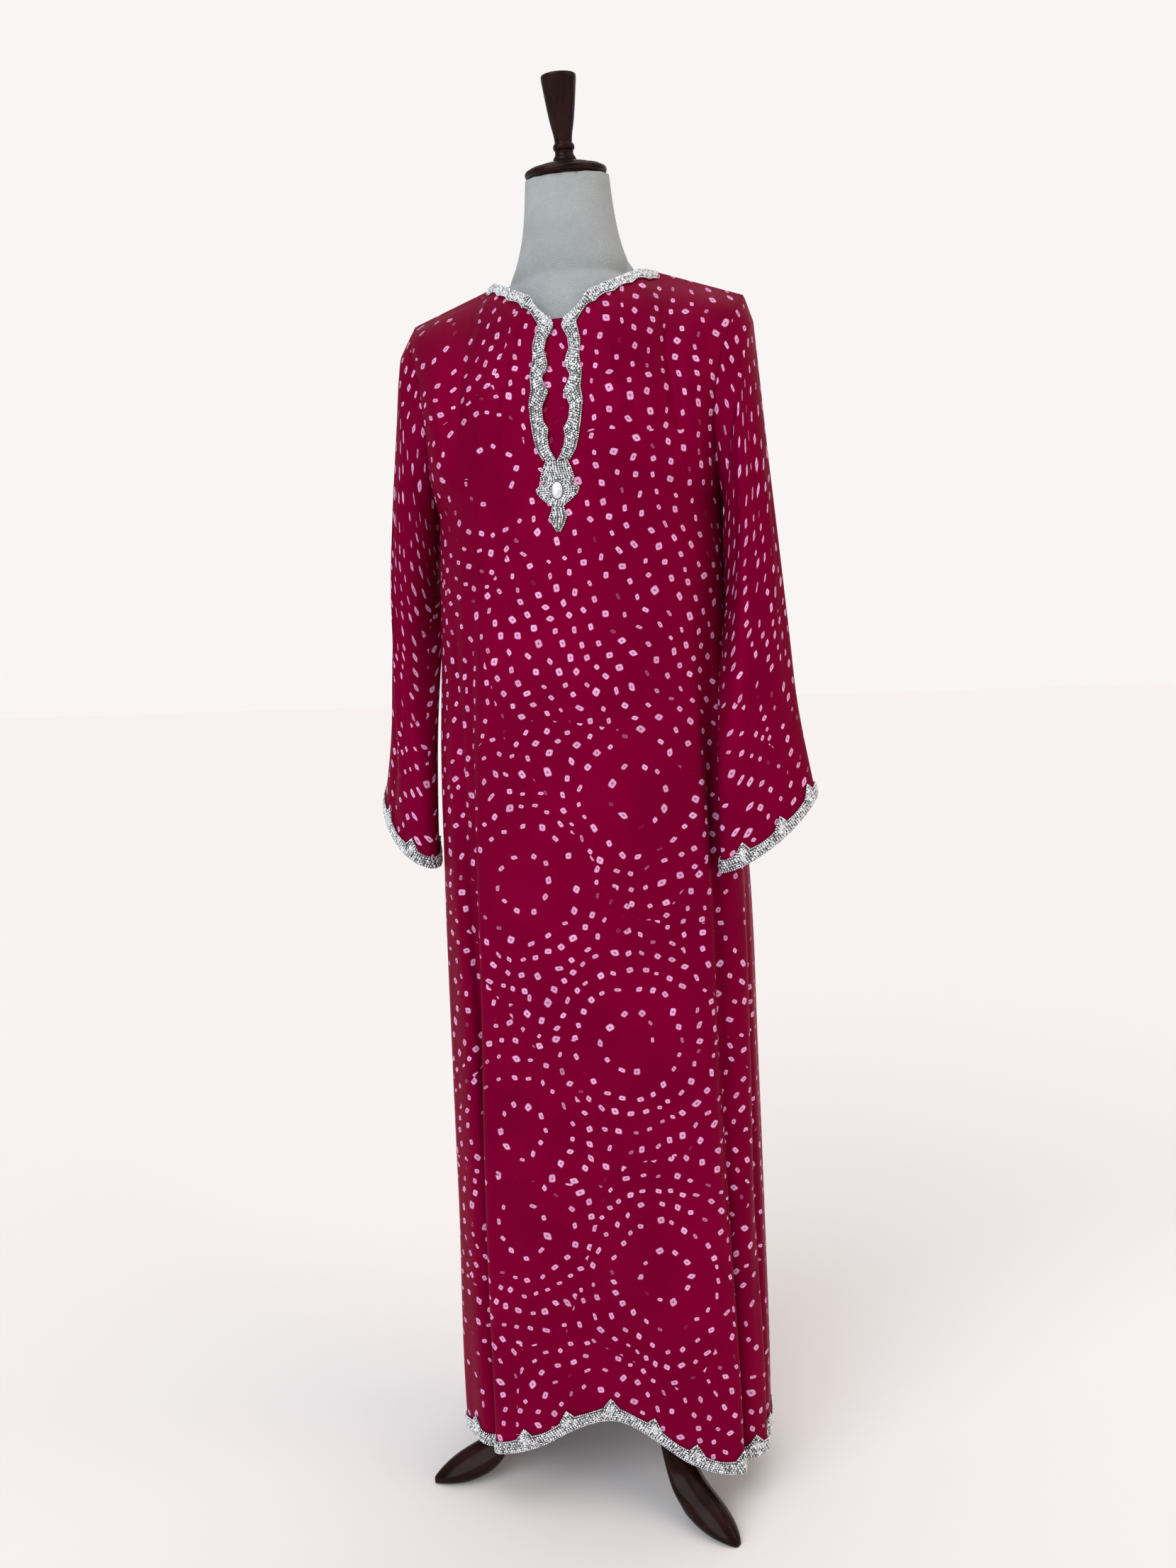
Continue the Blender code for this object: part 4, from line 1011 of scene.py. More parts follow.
@shared_group("Fine weave", {"Place": "vector", "Threads": "float"}, {"Height": "float", "Tone": "float"})
def fine_weave_group(g, given, result):
    """Threads crossing at a fine pitch, as a height and as a slight change of tone."""
    place = g.vector("SCALE", given["Place"], scale=given["Threads"])
    loose = g.fill(g.add("ShaderNodeTexNoise"), Vector=place, Scale=0.07)
    bent = g.vector("ADD", place, g.vector("SCALE", loose.outputs["Color"], scale=1.2))
    x, y, z = g.split(bent)
    first = g.math("SINE", g.times(g.plus(x, g.times(z, 0.5)), 2.0 * math.pi))
    second = g.math("SINE", g.times(g.plus(y, z), 2.0 * math.pi))
    woven = g.plus(g.times(first, 0.25), g.times(second, 0.25))
    slub = g.noise(place, 0.35, 3.0, 0.6)
    g.plug(result["Height"], g.plus(woven, g.times(slub, 0.6)))
    g.plug(result["Tone"], g.plus(g.times(woven, 0.3), slub))


@shared_group("Wood grain", {"Place": "vector", "Stretch": "vector"}, {"Tone": "float", "Height": "float"})
def wood_grain_group(g, given, result):
    """Long soft streaks of polished wood: a tone and a shallow height."""
    place = g.vector("MULTIPLY", given["Place"], given["Stretch"])
    broad = g.noise(place, 5.0, 3.0, 0.55)
    fine = g.noise(place, 34.0, 4.0, 0.65)
    g.plug(result["Tone"], g.plus(g.times(broad, 0.7), g.times(fine, 0.3)))
    g.plug(result["Height"], fine)


def new_material(name):
    """An empty material with its shader, and the helper to fill it."""
    material = bpy.data.materials.new(name)
    material.use_nodes = True
    return material, Graph(material.node_tree), material.node_tree.nodes["Principled BSDF"]


def made_once(make):
    """The function's material is made the first time that its name is asked for."""
    def find(name, *settings):
        return bpy.data.materials.get(name) or make(name, *settings)
    return find


def shade(colour, factor):
    """The colour made lighter or darker, with its alpha."""
    return (*(min(1.0, channel * factor) for channel in colour), 1.0)


def silk_material(name, rings):
    """Dyed silk with rings of tied dots round the given middles."""
    cloth = bpy.context.scene.kaftan_cloth
    material, g, shader = new_material(name)
    flat = g.add("ShaderNodeUVMap", uv_map="UVMap").outputs["UV"]
    place = g.vector("SCALE", flat, scale=100.0)
    best, low = None, None
    for number, (x, y, reach) in enumerate(rings):
        distance = g.minus(g.vector("DISTANCE", place, (x, y, 0.0)), reach)
        offset = g.vector("SUBTRACT", place, (x, y, -3.0 * number))
        if best is None:
            best, low = offset, distance
        else:
            best = g.mix(g.math("LESS_THAN", distance, low), best, offset, "VECTOR")
            low = g.math("MINIMUM", low, distance)
    dots = g.group(tied_dots_group(), Offset=best, Spacing=cloth.dot_spacing / CM, Size=cloth.dot_size / CM)
    weave = g.group(fine_weave_group(), Place=flat, Threads=900.0)
    mottle = g.noise(place, 0.09, 3.0, 0.55)
    dye = g.mix(g.smooth(mottle, 0.3, 0.72), shade(cloth.dye, 0.90), shade(cloth.dye, 1.10))
    dye = g.mix(g.times(weave["Tone"], 0.22), dye, shade(cloth.dye, 0.78))
    bled = g.mix(g.noise(place, 2.2, 2.0), shade(cloth.dot, 0.82), shade(cloth.dot, 1.12))
    shown = g.times(dots["Dots"], g.minus(1.0, g.times(dots["Eyes"], 0.78)))
    height = g.plus(weave["Height"], g.times(dots["Dots"], 0.8))
    g.fill(shader, Base_Color=g.mix(shown, dye, bled), Roughness=g.spread(weave["Tone"], 0.36, 0.48),
           Specular_IOR_Level=0.03, Metallic=0.16, Specular_Tint=(1.0, 0.06, 0.30, 1.0), Sheen_Weight=0.04,
           Sheen_Roughness=0.35, Sheen_Tint=(1.0, 0.12, 0.35, 1.0), Normal=g.bump(height, 0.2, 0.0004))
    return material


@made_once
def bead_material(name, colour, dark, metallic, roughness, coat):
    colour = colour or tuple(bpy.context.scene.kaftan_beads.silver)
    material, g, shader = new_material(name)
    chance = g.add("ShaderNodeAttribute", attribute_name="tone").outputs["Fac"]
    glint = g.noise(g.object_place(), 900.0, 1.0)
    g.fill(shader, Base_Color=g.mix(chance, shade(colour, dark), shade(colour, 1.25)),
           Roughness=g.spread(glint, roughness * 0.7, roughness * 1.5), Metallic=metallic, Coat_Weight=coat,
           Coat_Roughness=0.06, Normal=g.bump(glint, 0.12, 0.0002))
    return material


@made_once
def tape_material(name):
    net = tuple(bpy.context.scene.kaftan_beads.net)
    material, g, shader = new_material(name)
    threads = g.noise(g.object_place(), 1400.0, 2.0)
    g.fill(shader, Base_Color=g.mix(threads, shade(net, 0.25), shade(net, 1.3)),
           Roughness=g.spread(threads, 0.4, 0.7), Metallic=0.4, Normal=g.bump(threads, 0.6, 0.0006))
    return material


@made_once
def stone_material(name):
    material, g, shader = new_material(name)
    depth = g.noise(g.object_place(), 260.0, 2.0)
    g.fill(shader, Base_Color=g.mix(depth, (0.44, 0.43, 0.45, 1.0), (0.92, 0.91, 0.93, 1.0)),
           Roughness=g.spread(depth, 0.04, 0.10), Coat_Weight=1.0, Coat_Roughness=0.03,
           Specular_IOR_Level=0.9)
    return material


@made_once
def linen_material(name):
    linen = tuple(bpy.context.scene.kaftan_stand.linen)
    material, g, shader = new_material(name)
    place = g.object_place()
    weave = g.group(fine_weave_group(), Place=place, Threads=620.0)
    worn = g.noise(place, 14.0, 4.0, 0.6)
    tone = g.mix(g.smooth(worn, 0.3, 0.75), shade(linen, 0.88), shade(linen, 1.08))
    g.fill(shader, Base_Color=g.mix(g.times(weave["Tone"], 0.45), tone, shade(linen, 0.66)),
           Roughness=g.spread(weave["Tone"], 0.80, 0.98), Specular_IOR_Level=0.2, Sheen_Weight=0.12,
           Normal=g.bump(weave["Height"], 0.7, 0.0006))
    return material


@made_once
def wood_material(name, stretch, gloss):
    wood = tuple(bpy.context.scene.kaftan_stand.wood)
    material, g, shader = new_material(name)
    place = g.object_place()
    grain = g.group(wood_grain_group(), Place=place, Stretch=stretch)
    rubbed = g.noise(place, 60.0, 3.0)
    colour = g.mix(g.smooth(grain["Tone"], 0.32, 0.68), shade(wood, 0.45), shade(wood, 1.9))
    g.fill(shader, Base_Color=colour, Roughness=g.spread(rubbed, gloss, gloss + 0.16),
           Specular_IOR_Level=0.07, Coat_Weight=0.05, Coat_Roughness=0.08,
           Normal=g.bump(grain["Height"], 0.12, 0.0004))
    return material


# ---------------------------------------------------------------- turned and carved pieces
def turned(name, profile, sides):
    """A disc extruded from ring to ring along its axis, and drawn in or out at each."""
    radius, height = profile[0]
    deselect()
    bpy.ops.mesh.primitive_circle_add(vertices=sides, radius=radius, fill_type="NGON",
                                      location=(0.0, 0.0, height))
    obj = bpy.context.object
    obj.name = name
    bpy.ops.object.transform_apply(location=True)
    bpy.ops.object.mode_set(mode="EDIT")
    bpy.ops.mesh.select_mode(type="FACE")
    bpy.ops.mesh.select_all(action="SELECT")
    for next_radius, next_height in profile[1:]:
        bpy.ops.mesh.extrude_region_move(
            TRANSFORM_OT_translate={"value": (0.0, 0.0, next_height - height)})
        bpy.ops.transform.resize(value=(next_radius / radius, next_radius / radius, 1.0),
                                 center_override=(0.0, 0.0, next_height))
        radius, height = next_radius, next_height
    bpy.ops.mesh.select_all(action="SELECT")
    bpy.ops.mesh.normals_make_consistent(inside=False)
    bpy.ops.object.mode_set(mode="OBJECT")
    return obj


def turn_piece(name, profile, material):
    """A turned piece of the stand, from its profile in centimetres."""
    obj = turned(name, [(radius * CM, height * CM) for radius, height in profile],
                 bpy.context.scene.kaftan_stand.sides)
    bpy.ops.object.shade_smooth_by_angle(angle=math.radians(38.0))
    obj.data.materials.clear()
    obj.data.materials.append(material)
    return obj


def place_turned(obj, foot, tilt):
    """Leans a turned piece to the front and stands it on its foot, with its place in its mesh."""
    pick(obj)
    obj.rotation_euler = (tilt, 0.0, 0.0)
    obj.location = Vector(to_row(foot))
    bpy.ops.object.transform_apply(location=True, rotation=True, scale=True)


def refined_copy(name, node, material, levels, sharp):
    """A smoother copy of a solid: its triangles joined to quads, hard edges kept, then subdivided."""
    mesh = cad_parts[node].data.copy()
    mesh.materials.clear()
    obj = new_piece(name, mesh, material)
    pick(obj)
    bpy.ops.object.mode_set(mode="EDIT")
    bpy.ops.mesh.select_mode(type="EDGE")
    bpy.ops.mesh.select_all(action="SELECT")
    bpy.ops.mesh.remove_doubles(threshold=1e-5)
    bpy.ops.mesh.tris_convert_to_quads(face_threshold=math.radians(50.0), shape_threshold=math.radians(60.0))
    bpy.ops.mesh.select_all(action="DESELECT")
    bpy.ops.mesh.edges_select_sharp(sharpness=sharp)
    bpy.ops.transform.edge_crease(value=0.85)
    bpy.ops.object.mode_set(mode="OBJECT")
    smooth = obj.modifiers.new("Smooth", "SUBSURF")
    smooth.levels = smooth.render_levels = levels
    bpy.ops.object.modifier_apply(modifier="Smooth")
    bpy.ops.object.shade_smooth_by_angle(angle=math.radians(50.0))
    return obj


def settle(obj, slot, *nodes):
    """The piece rides on the part and stands for its solids, which it hides; the slot is not used."""
    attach(obj, "root")
    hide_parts(*nodes)


# the panels' and sleeves' grids, kept for the trims that lie on them
SHEETS = {}


def body_sheets(front, steps):
    """Both halves of a panel with their creases, flat maps and outward normals."""
    creases = FRONT_CREASES if front else BACK_CREASES
    halves = []
    for side in (-1, 1):
        grid = body_half(front, side, steps)
        flat = half_map(grid, side)
        centres = grid * (0.0, 0.0, 1.0) + (0.0, SEAM_Y, 0.0)
        normals = outward(grid, centres)
        seam = np.linalg.norm(grid - grid[:, :1], axis=2)
        top = np.linalg.norm(grid - grid[-1:], axis=2)
        # the creases run out before the side seams and the top edge
        held = ease((seam - 0.4) / 4.0) * ease((top - 0.6) / 5.0)
        raised = grid + normals * (crease_height(flat, creases) * held)[..., None]
        halves.append([grid, raised, flat, normals])
    # below the keyhole both halves share the points of the centre line
    joined = np.linalg.norm(halves[0][0][:, -1] - halves[1][0][:, -1], axis=1) < 1e-6
    middle = (halves[0][1][:, -1] + halves[1][1][:, -1]) / 2
    for half in halves:
        half[1][joined, -1] = middle[joined]
    return [(raised, flat, normals) for _, raised, flat, normals in halves]


class KAFTAN_OT_panels(bpy.types.Operator):
    """Front and back panels of dotted silk"""
    bl_idname = "kaftan.panels"
    bl_label = "Front and back"

    def execute(self, context):
        for name, rings in (("front", FRONT_RINGS), ("back", BACK_RINGS)):
            sheets = body_sheets(name == "front", context.scene.kaftan_cloth.fineness)
            SHEETS[name] = sheets
            piece = cloth_piece(f"{name}_panel", sheets, silk_material(f"dotted silk {name}", rings))
            settle(piece, "silk", name)
            declare_sheet(sheets)
        return {"FINISHED"}


class KAFTAN_OT_sleeves(bpy.types.Operator):
    """Both sleeves, each one tube from the armhole to the cuff"""
    bl_idname = "kaftan.sleeves"
    bl_label = "Sleeves"

    def execute(self, context):
        for side, name in ((1, "sleeve_left"), (-1, "sleeve_right")):
            grid = sleeve_grid(side, *SLEEVE_STEPS)
            flat = sleeve_map(grid)
            centres = np.broadcast_to(grid.mean(axis=1, keepdims=True), grid.shape)
            normals = outward(grid, centres, closed=True)
            drawn = np.stack([np.linspace(*CREASES_DRAWN, len(grid)), np.ones(len(grid))], axis=-1)
            places = flat[:, :-1] * (-1.0, 1.0) / drawn[:, None]
            rim = np.minimum(-flat[:, :-1, 1], flat[:, :-1, 1] - flat[-1, 0, 1])
            height = crease_height(places, SLEEVE_CREASES[side]) * ease(rim / 5.0)
            sheet = SHEETS[name] = (grid + normals * height[..., None], flat, normals)
            silk = silk_material(f"dotted silk {name}", SLEEVE_RINGS)
            piece = cloth_piece(f"{name}_tube", [sheet], silk, closed=True)
            settle(piece, "silk", name)
            declare_sheet([sheet], closed=True)
        return {"FINISHED"}


class KAFTAN_OT_underlay(bpy.types.Operator):
    """Panel of the same silk behind the keyhole"""
    bl_idname = "kaftan.underlay"
    bl_label = "Underlay"

    def execute(self, context):
        low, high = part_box("keyhole_underlay")
        silk = silk_material("dotted silk underlay", UNDERLAY_RINGS)
        piece = refined_copy("underlay_panel", "keyhole_underlay", silk, 1, math.radians(50.0))
        mesh = piece.data
        layer = mesh.uv_layers.active or mesh.uv_layers.new(name="UVMap")
        layer.name = "UVMap"
        middle = (low.x + high.x) / 2
        for loop in mesh.loops:
            point = mesh.vertices[loop.vertex_index].co
            layer.data[loop.index].uv = (point.x - middle, point.z)
        settle(piece, "silk", "keyhole_underlay")
        return {"FINISHED"}


# how many steps of the sheet each band may reach in from the edge, and the bands' small inner scallop
KEYHOLE_STEPS, FRONT_NECK_STEPS, BACK_NECK_STEPS, HEM_STEPS, CUFF_STEPS = 40, 60, 40, 40, 20
NECK_SCALLOP = 0.05


def band_of(sheet, place):
    """Band on a sheet: place turns a grid into rows of points from the edge inwards."""
    return Band(place(sheet[0]), place(sheet[2]))


def neck_band(sheet, depth):
    """Band along the neckline of one half, from the shoulder seam to the centre."""
    start = int(np.argmax(np.abs(sheet[0][-1, :, 1] - SEAM_Y) > 0.4))
    return band_of(sheet, lambda grid: grid[::-1, start:].transpose(1, 0, 2)[:, :depth])


def finish_trim(work, name, node):
    """Makes the trim's mesh, which stands for its solid."""
    settle(work.make(name), "silver", node)


class KAFTAN_OT_neck_trims(bpy.types.Operator):
    """Beaded bands along the neckline and down both sides of the keyhole"""
    bl_idname = "kaftan.neck_trims"
    bl_label = "Neck trims"

    def execute(self, context):
        radius = context.scene.kaftan_beads.radius / CM
        for number, (name, sheet) in enumerate(zip(("right", "left"), SHEETS["front"])):
            work = Beadwork(11 + number)
            foot = int(np.argmax(sheet[0][:, -1, 2] >= KEYHOLE[0][0]))
            band = band_of(sheet, lambda grid: grid[foot:, ::-1][:, :KEYHOLE_STEPS])
            rim = band.points[:, 0]
            widths = table_line(KEYHOLE_OUTER, rim[:, 2]) - np.abs(rim[:, 0])
            bead_band(work, band, KEYHOLE_BAND, radius, scallop=NECK_SCALLOP, widths=widths)
            bead_band(work, neck_band(sheet, FRONT_NECK_STEPS), NECK_BAND, radius, scallop=NECK_SCALLOP)
            finish_trim(work, f"neck_beads_{name}", f"trim_neck_front_{name}")
        work = Beadwork(13)
        for sheet in SHEETS["back"]:
            bead_band(work, neck_band(sheet, BACK_NECK_STEPS), NECK_BAND, radius, scallop=NECK_SCALLOP)
        finish_trim(work, "neck_beads_back", "trim_neck_back")
        return {"FINISHED"}


class KAFTAN_OT_hem_trims(bpy.types.Operator):
    """Beaded bands along the hem"""
    bl_idname = "kaftan.hem_trims"
    bl_label = "Hem trims"

    def execute(self, context):
        radius = context.scene.kaftan_beads.radius / CM
        for number, name in enumerate(("front", "back")):
            whole = [np.concatenate([one, other[:, -2::-1]], axis=1)
                     for one, other in zip(*SHEETS[name])]
            band = band_of(whole, lambda grid: grid[:HEM_STEPS].transpose(1, 0, 2))
            work = Beadwork(21 + number)
            bead_band(work, band, HEM_BAND, 1.08 * radius, HEM_LEAD[name])
            finish_trim(work, f"hem_beads_{name}", f"trim_hem_{name}")
        return {"FINISHED"}


class KAFTAN_OT_cuff_trims(bpy.types.Operator):
    """Beaded bands round the cuffs"""
    bl_idname = "kaftan.cuff_trims"
    bl_label = "Cuff trims"

    def execute(self, context):
        radius = context.scene.kaftan_beads.radius / CM
        for number, name in enumerate(("left", "right")):
            band = band_of(SHEETS[f"sleeve_{name}"],
                           lambda grid: closed_columns(grid[::-1]).transpose(1, 0, 2)[:, :CUFF_STEPS])
            work = Beadwork(31 + number)
            bead_band(work, band, CUFF_BAND, 1.05 * radius)
            finish_trim(work, f"cuff_beads_{name}", f"trim_cuff_{name}")
        return {"FINISHED"}


# columns of the front beside its centre line where the pendant lies, and the one whose normal it takes
NEAR_CENTRE, NORMAL_COLUMN = 60, -8
PENDANT_ROWS, PENDANT_LENGTH = 30, 7.9


def on_front(x, z):
    """Point on the front panel near the centre front, with its outward normal."""
    grid, _, normals = SHEETS["front"][0 if x < 0 else 1]
    rows, columns = np.arange(len(grid)), np.arange(NEAR_CENTRE)
    y = []
    for row in grid[:, -NEAR_CENTRE:]:
        column = np.interp(abs(x), np.abs(row[::-1, 0]), columns[::-1])
        y.append(np.interp(column, columns, row[:, 1]))
    row = np.interp(z, grid[:, -1, 2], rows)
    return np.array([x, np.interp(row, rows, y), z]), normals[int(row), NORMAL_COLUMN]


class KAFTAN_OT_pendant(bpy.types.Operator):
    """Beaded pendant under the keyhole with its oval stone"""
    bl_idname = "kaftan.pendant"
    bl_label = "Pendant"

    def execute(self, context):
        radius = context.scene.kaftan_beads.radius / CM
        work = Beadwork(41)
        along = np.array([1.0, 0.0, 0.0])

        def place(x, drop):
            point, normal = on_front(x, PENDANT_TOP - drop)
            return point, along, normal

        points = []
        for drop in np.linspace(0.0, PENDANT_LENGTH, PENDANT_ROWS):
            half = table_line(PENDANT, drop)
            for x, rise in ((-1.0, 0.02), (-0.5, 0.12), (0.0, 0.12), (0.5, 0.12), (1.0, 0.02)):
                point, _, normal = place(x * half, drop)
                points.append(point + normal * (WALL / CM + rise))
        work.add(np.array(points), grid_faces(PENDANT_ROWS, 5), TAPE)
        random = work.random
        for side in (-1, 1):
            drop = 0.0
            while drop < PENDANT_LENGTH:
                half = table_line(PENDANT, drop)
                work.bead("round", SILVER, place(side * half, drop), 0.8 * radius)
                slope = (table_line(PENDANT, drop + SLOPE_RUN) - half) / SLOPE_RUN
                drop += 1.55 * radius / math.hypot(1.0, slope)
        step = 1.9 * radius
        for row in range(int(7.8 / (0.88 * step))):
            drop = 0.15 + 0.88 * step * row
            half = table_line(PENDANT, drop) - EDGE_STEP * radius
            x = -half + (0.5 * step if row % 2 else 0.0)
            while x <= half:
                clear = abs(x / (STONE[1] + 0.22)) ** 2 + abs((drop - STONE[0]) / (STONE[2] + 0.22)) ** 2
                if clear > 1.0:
                    kind = random.random()
                    spot = place(x, drop)
                    if kind < 0.4:
                        work.bead("round", SILVER, spot, radius)
                    elif kind < 0.72:
                        work.bead("round", CRYSTAL, spot, 1.15 * radius)
                    else:
                        work.bead("long", SILVER, spot, 0.6 * radius, math.atan2(drop - STONE[0], x),
                                  1.7 * radius)
                x += step
        for turn in np.linspace(0.0, 2.0 * math.pi, 22, endpoint=False):
            spot = place((STONE[1] + 0.14) * math.cos(turn), STONE[0] + (STONE[2] + 0.14) * math.sin(turn))
            work.bead("round", SILVER, spot, 0.9 * radius)
        finish_trim(work, "pendant_beads", "trim_pendant")

        drop, half_width, half_height, thick = STONE
        point, _, _ = place(0.0, drop)
        stone = turned("oval_stone", STONE_TURNING, 16)
        stone.scale = (half_width * CM, half_height * CM, thick * CM / STONE_TURNING[-1][1])
        stone.rotation_euler = (math.pi / 2, 0.0, 0.0)
        stone.location = Vector(to_row(point + np.array([0.0, -(WALL / CM + 0.1), 0.0])))
        bpy.ops.object.transform_apply(location=True, rotation=True, scale=True)
        stone.data.materials.append(stone_material("clear stone"))
        settle(stone, "stone", "pendant_stone")
        return {"FINISHED"}


class KAFTAN_OT_form(bpy.types.Operator):
    """Linen-covered torso and neck"""
    bl_idname = "kaftan.form"
    bl_label = "Form"

    def execute(self, context):
        piece = refined_copy("linen_form", "form_bust", linen_material("linen cover"), 2, math.radians(45.0))
        settle(piece, "linen", "form_bust")
        return {"FINISHED"}


# finish of the wood: name, stretch of its grain, gloss
TURNED_WOOD = ("polished wood", (9.0, 9.0, 1.0), 0.20)
LEG_WOOD = ("polished leg wood", (5.0, 5.0, 9.0), 0.16)
# radius and height of the cap and of the finial, from the foot up
CAP_TURNING = (
    (4.30, 0.0), (4.55, 0.05), (4.74, 0.18), (4.84, 0.38), (4.86, 0.56), (4.80, 0.74), (4.66, 0.88),
    (4.46, 0.97), (4.30, 1.02), (4.24, 1.05), (4.22, 1.10), (4.12, 1.14), (3.80, 1.20), (3.30, 1.33),
    (2.70, 1.50), (2.10, 1.62), (1.60, 1.70), (1.40, 1.73),
)
FINIAL_TURNING = (
    (1.34, 0.02), (1.36, 0.16), (1.30, 0.34), (1.20, 0.48), (1.12, 0.60), (1.08, 0.78), (1.08, 1.00),
    (1.10, 1.10), (1.20, 1.16), (1.25, 1.28), (1.27, 1.42), (1.25, 1.58), (1.19, 1.74), (1.08, 1.84),
    (1.04, 1.92), (1.03, 2.05), (1.05, 2.30), (1.10, 2.70), (1.18, 3.10), (1.30, 3.60), (1.46, 4.40),
    (1.62, 5.40), (1.76, 6.40), (1.88, 7.30), (1.97, 8.00), (2.03, 8.45), (2.05, 8.75), (2.03, 8.92),
    (1.96, 9.02), (1.85, 9.07), (1.60, 9.09), (0.90, 9.095),
)


class KAFTAN_OT_turned_pieces(bpy.types.Operator):
    """Neck cap and finial, turned and polished"""
    bl_idname = "kaftan.turned_pieces"
    bl_label = "Cap and finial"

    def execute(self, context):
        up = np.array([0.0, -math.sin(NECK_TILT), math.cos(NECK_TILT)])
        foot = np.array(NECK_TOP) + up * GAP / CM
        cap = turn_piece("turned_cap", CAP_TURNING, wood_material(*TURNED_WOOD))
        place_turned(cap, foot, NECK_TILT)
        settle(cap, "wood", "neck_cap")
        finial = turn_piece("turned_finial", FINIAL_TURNING, wood_material(*TURNED_WOOD))
        place_turned(finial, foot + up * (1.75 + GAP / CM), NECK_TILT)
        settle(finial, "wood", "finial")
        return {"FINISHED"}


class KAFTAN_OT_tripod(bpy.types.Operator):
    """Pole, hub and the three carved legs"""
    bl_idname = "kaftan.tripod"
    bl_label = "Tripod"

    def execute(self, context):
        for name in ("pole", "hub"):
            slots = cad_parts[name].material_slots
            for slot in slots:
                slot.material = wood_material(*TURNED_WOOD)
        for number in (1, 2, 3):
            leg = refined_copy(f"carved_leg_{number}", f"leg_{number}",
                               wood_material(*LEG_WOOD), 2, math.radians(75.0))
            settle(leg, "wood", f"leg_{number}")
        return {"FINISHED"}


# ---------------------------------------------------------------- stage
# the photograph's camera: its place, the way it looks and how far it leans
CAMERA_PLACE = (0.32861, -1.49430, 0.99454)
CAMERA_LOOK = (-0.21470, 0.97352, -0.07846)
CAMERA_ROLL = math.radians(-1.879)
CAMERA_LENS = 28.48
# soft lights: name, the way the light comes from, share of the window's strength, spread, colour
LIGHTS = (
    ("window", (-0.9, -2.3, 1.3), 1.0, 50.0, (0.88, 0.96, 1.0)),
    ("room_right", (2.4, -0.5, 1.2), 0.46, 50.0, (1.0, 0.80, 0.62)),
    ("back_rim", (1.0, 2.2, 1.6), 0.12, 50.0, (1.0, 0.97, 0.95)),
    ("ceiling", (0.1, 0.0, 2.5), 0.45, 60.0, (1.0, 1.0, 1.0)),
)


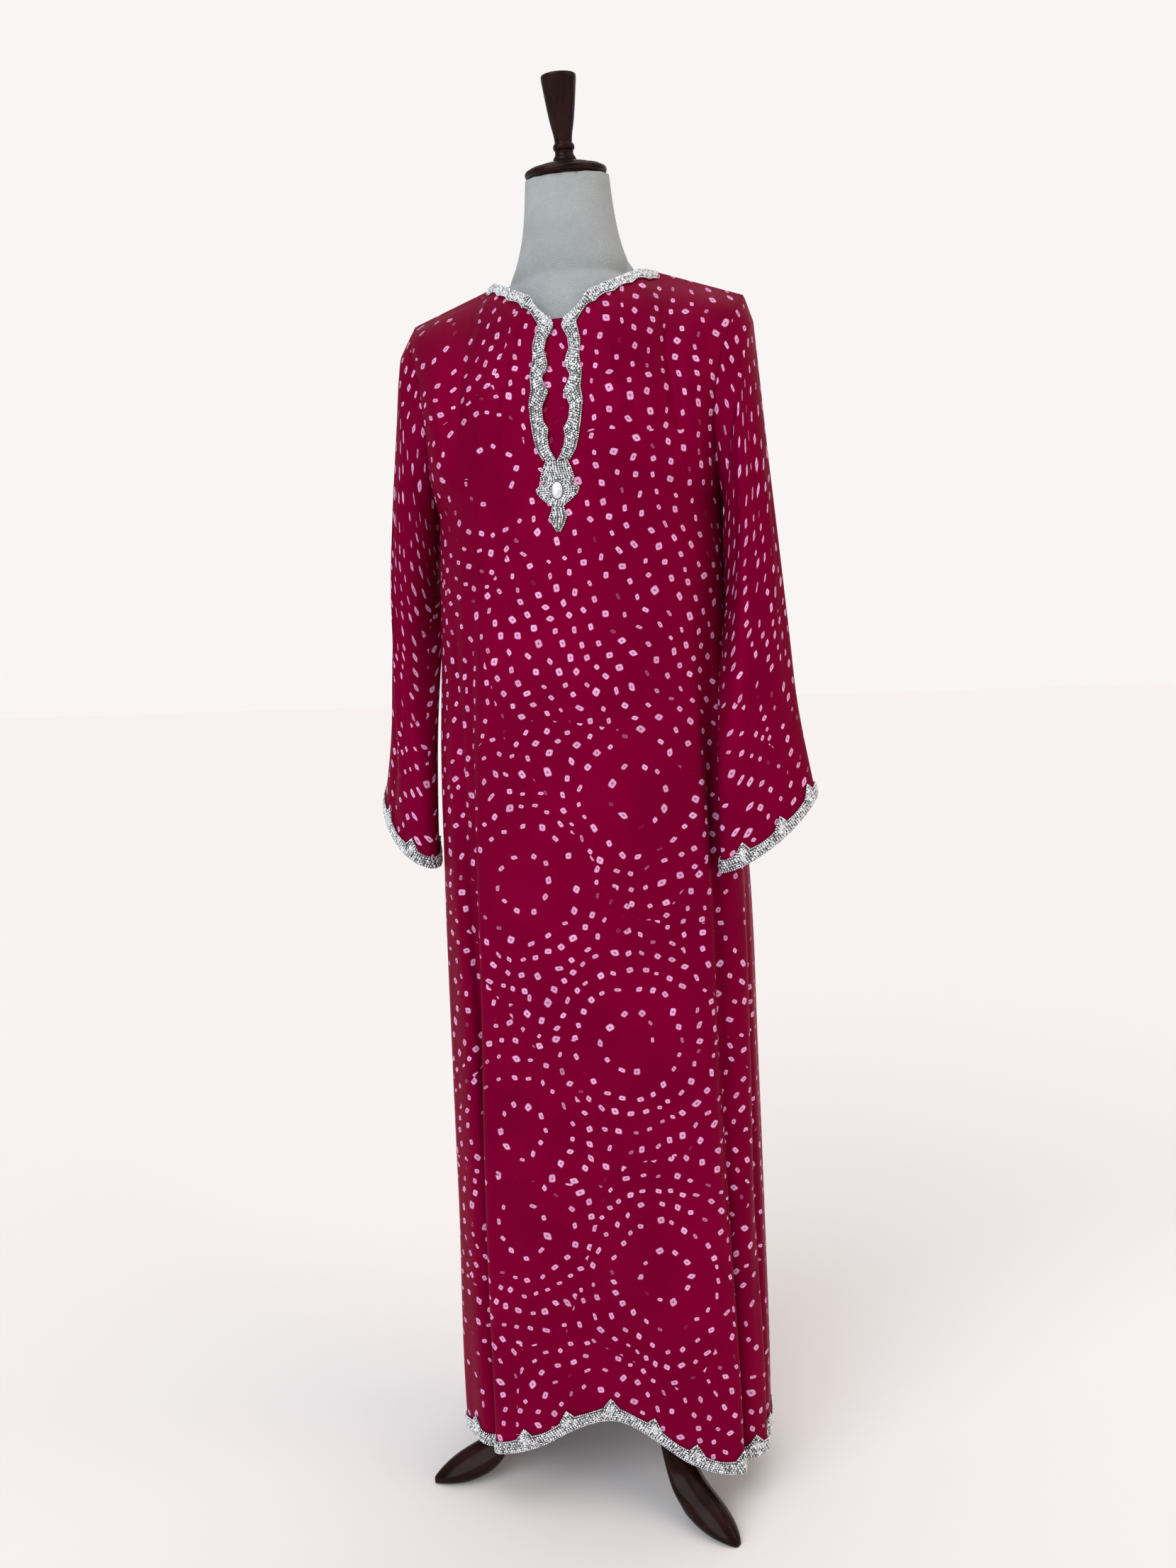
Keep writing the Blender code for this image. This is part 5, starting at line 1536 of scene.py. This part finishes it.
class KAFTAN_OT_stage(bpy.types.Operator):
    """Camera, floor, soft lights and a pale room"""
    bl_idname = "kaftan.stage"
    bl_label = "Stage"

    def execute(self, context):
        scene = context.scene
        stage = scene.kaftan_stage
        ahead = Vector(CAMERA_LOOK).normalized()
        right = ahead.cross(Vector((0.0, 0.0, 1.0))).normalized()
        up = right.cross(ahead)
        c, s = math.cos(CAMERA_ROLL), math.sin(CAMERA_ROLL)
        turn = Matrix((c * right + s * up, c * up - s * right, -ahead)).transposed().to_4x4()
        data = bpy.data.cameras.new("camera")
        data.lens = CAMERA_LENS
        data.sensor_width = 36.0
        camera = bpy.data.objects.new("camera", data)
        scene.collection.objects.link(camera)
        camera.matrix_world = Matrix.Translation(Vector(CAMERA_PLACE) + AXIS) @ turn
        scene.camera = camera
        scene.view_settings.view_transform = "Standard"
        scene.view_settings.look = "None"

        deselect()
        bpy.ops.mesh.primitive_grid_add(x_subdivisions=2, y_subdivisions=2, size=160.0, location=(0, 0, 0))
        floor = context.object
        floor.name = "floor"
        material, g, shader = new_material("pale floor")
        worn = g.noise(g.object_place(), 3.0, 2.0)
        g.plug(shader.inputs["Base Color"], g.mix(worn, shade(stage.floor, 0.995), shade(stage.floor, 1.0)))
        shader.inputs["Roughness"].default_value = 0.9
        shader.inputs["Specular IOR Level"].default_value = 0.1
        floor.data.materials.append(material)

        world = bpy.data.worlds.new("pale room")
        world.use_nodes = True
        background = world.node_tree.nodes["Background"]
        background.inputs["Color"].default_value = (*stage.floor, 1.0)
        g = Graph(world.node_tree)
        seen = g.add("ShaderNodeLightPath").outputs["Is Camera Ray"]
        g.plug(background.inputs["Strength"], g.mix(seen, stage.room, 1.0, "FLOAT"))
        scene.world = world
        for name, way, share, spread, colour in LIGHTS:
            data = bpy.data.lights.new(name, "SUN")
            data.energy = stage.window * share
            data.angle = math.radians(spread)
            data.color = colour
            light = bpy.data.objects.new(name, data)
            scene.collection.objects.link(light)
            light.location = Vector(way) + AXIS
            light.rotation_euler = Vector(way).to_track_quat("Z", "Y").to_euler()
        return {"FINISHED"}


OPERATORS = (KAFTAN_OT_stage, KAFTAN_OT_panels, KAFTAN_OT_sleeves, KAFTAN_OT_underlay,
             KAFTAN_OT_neck_trims, KAFTAN_OT_hem_trims, KAFTAN_OT_cuff_trims, KAFTAN_OT_pendant,
             KAFTAN_OT_form, KAFTAN_OT_turned_pieces, KAFTAN_OT_tripod)
GROUPS = {"kaftan_cloth": KaftanCloth, "kaftan_beads": KaftanBeads, "kaftan_stand": KaftanStand,
          "kaftan_stage": KaftanStage}


class KAFTAN_PT_panel(bpy.types.Panel):
    """Sizes, colours and pieces of the kaftan"""
    bl_idname = "KAFTAN_PT_panel"
    bl_label = "Kaftan"
    bl_space_type = "VIEW_3D"
    bl_region_type = "UI"
    bl_category = "Kaftan"

    def draw(self, context):
        for key, group in GROUPS.items():
            box = self.layout.box()
            for name in group.__annotations__:
                box.prop(getattr(context.scene, key), name)
        for operator in OPERATORS:
            self.layout.operator(operator.bl_idname)


def register():
    for cls in (*GROUPS.values(), *OPERATORS, KAFTAN_PT_panel):
        bpy.utils.register_class(cls)
    for key, group in GROUPS.items():
        setattr(bpy.types.Scene, key, bpy.props.PointerProperty(type=group))


def unregister():
    for key in GROUPS:
        delattr(bpy.types.Scene, key)
    for cls in reversed((*GROUPS.values(), *OPERATORS, KAFTAN_PT_panel)):
        bpy.utils.unregister_class(cls)


def main():
    register()
    for operator in OPERATORS:
        group, name = operator.bl_idname.split(".")
        getattr(getattr(bpy.ops, group), name)()
    deselect()


if __name__ == "__main__":
    main()
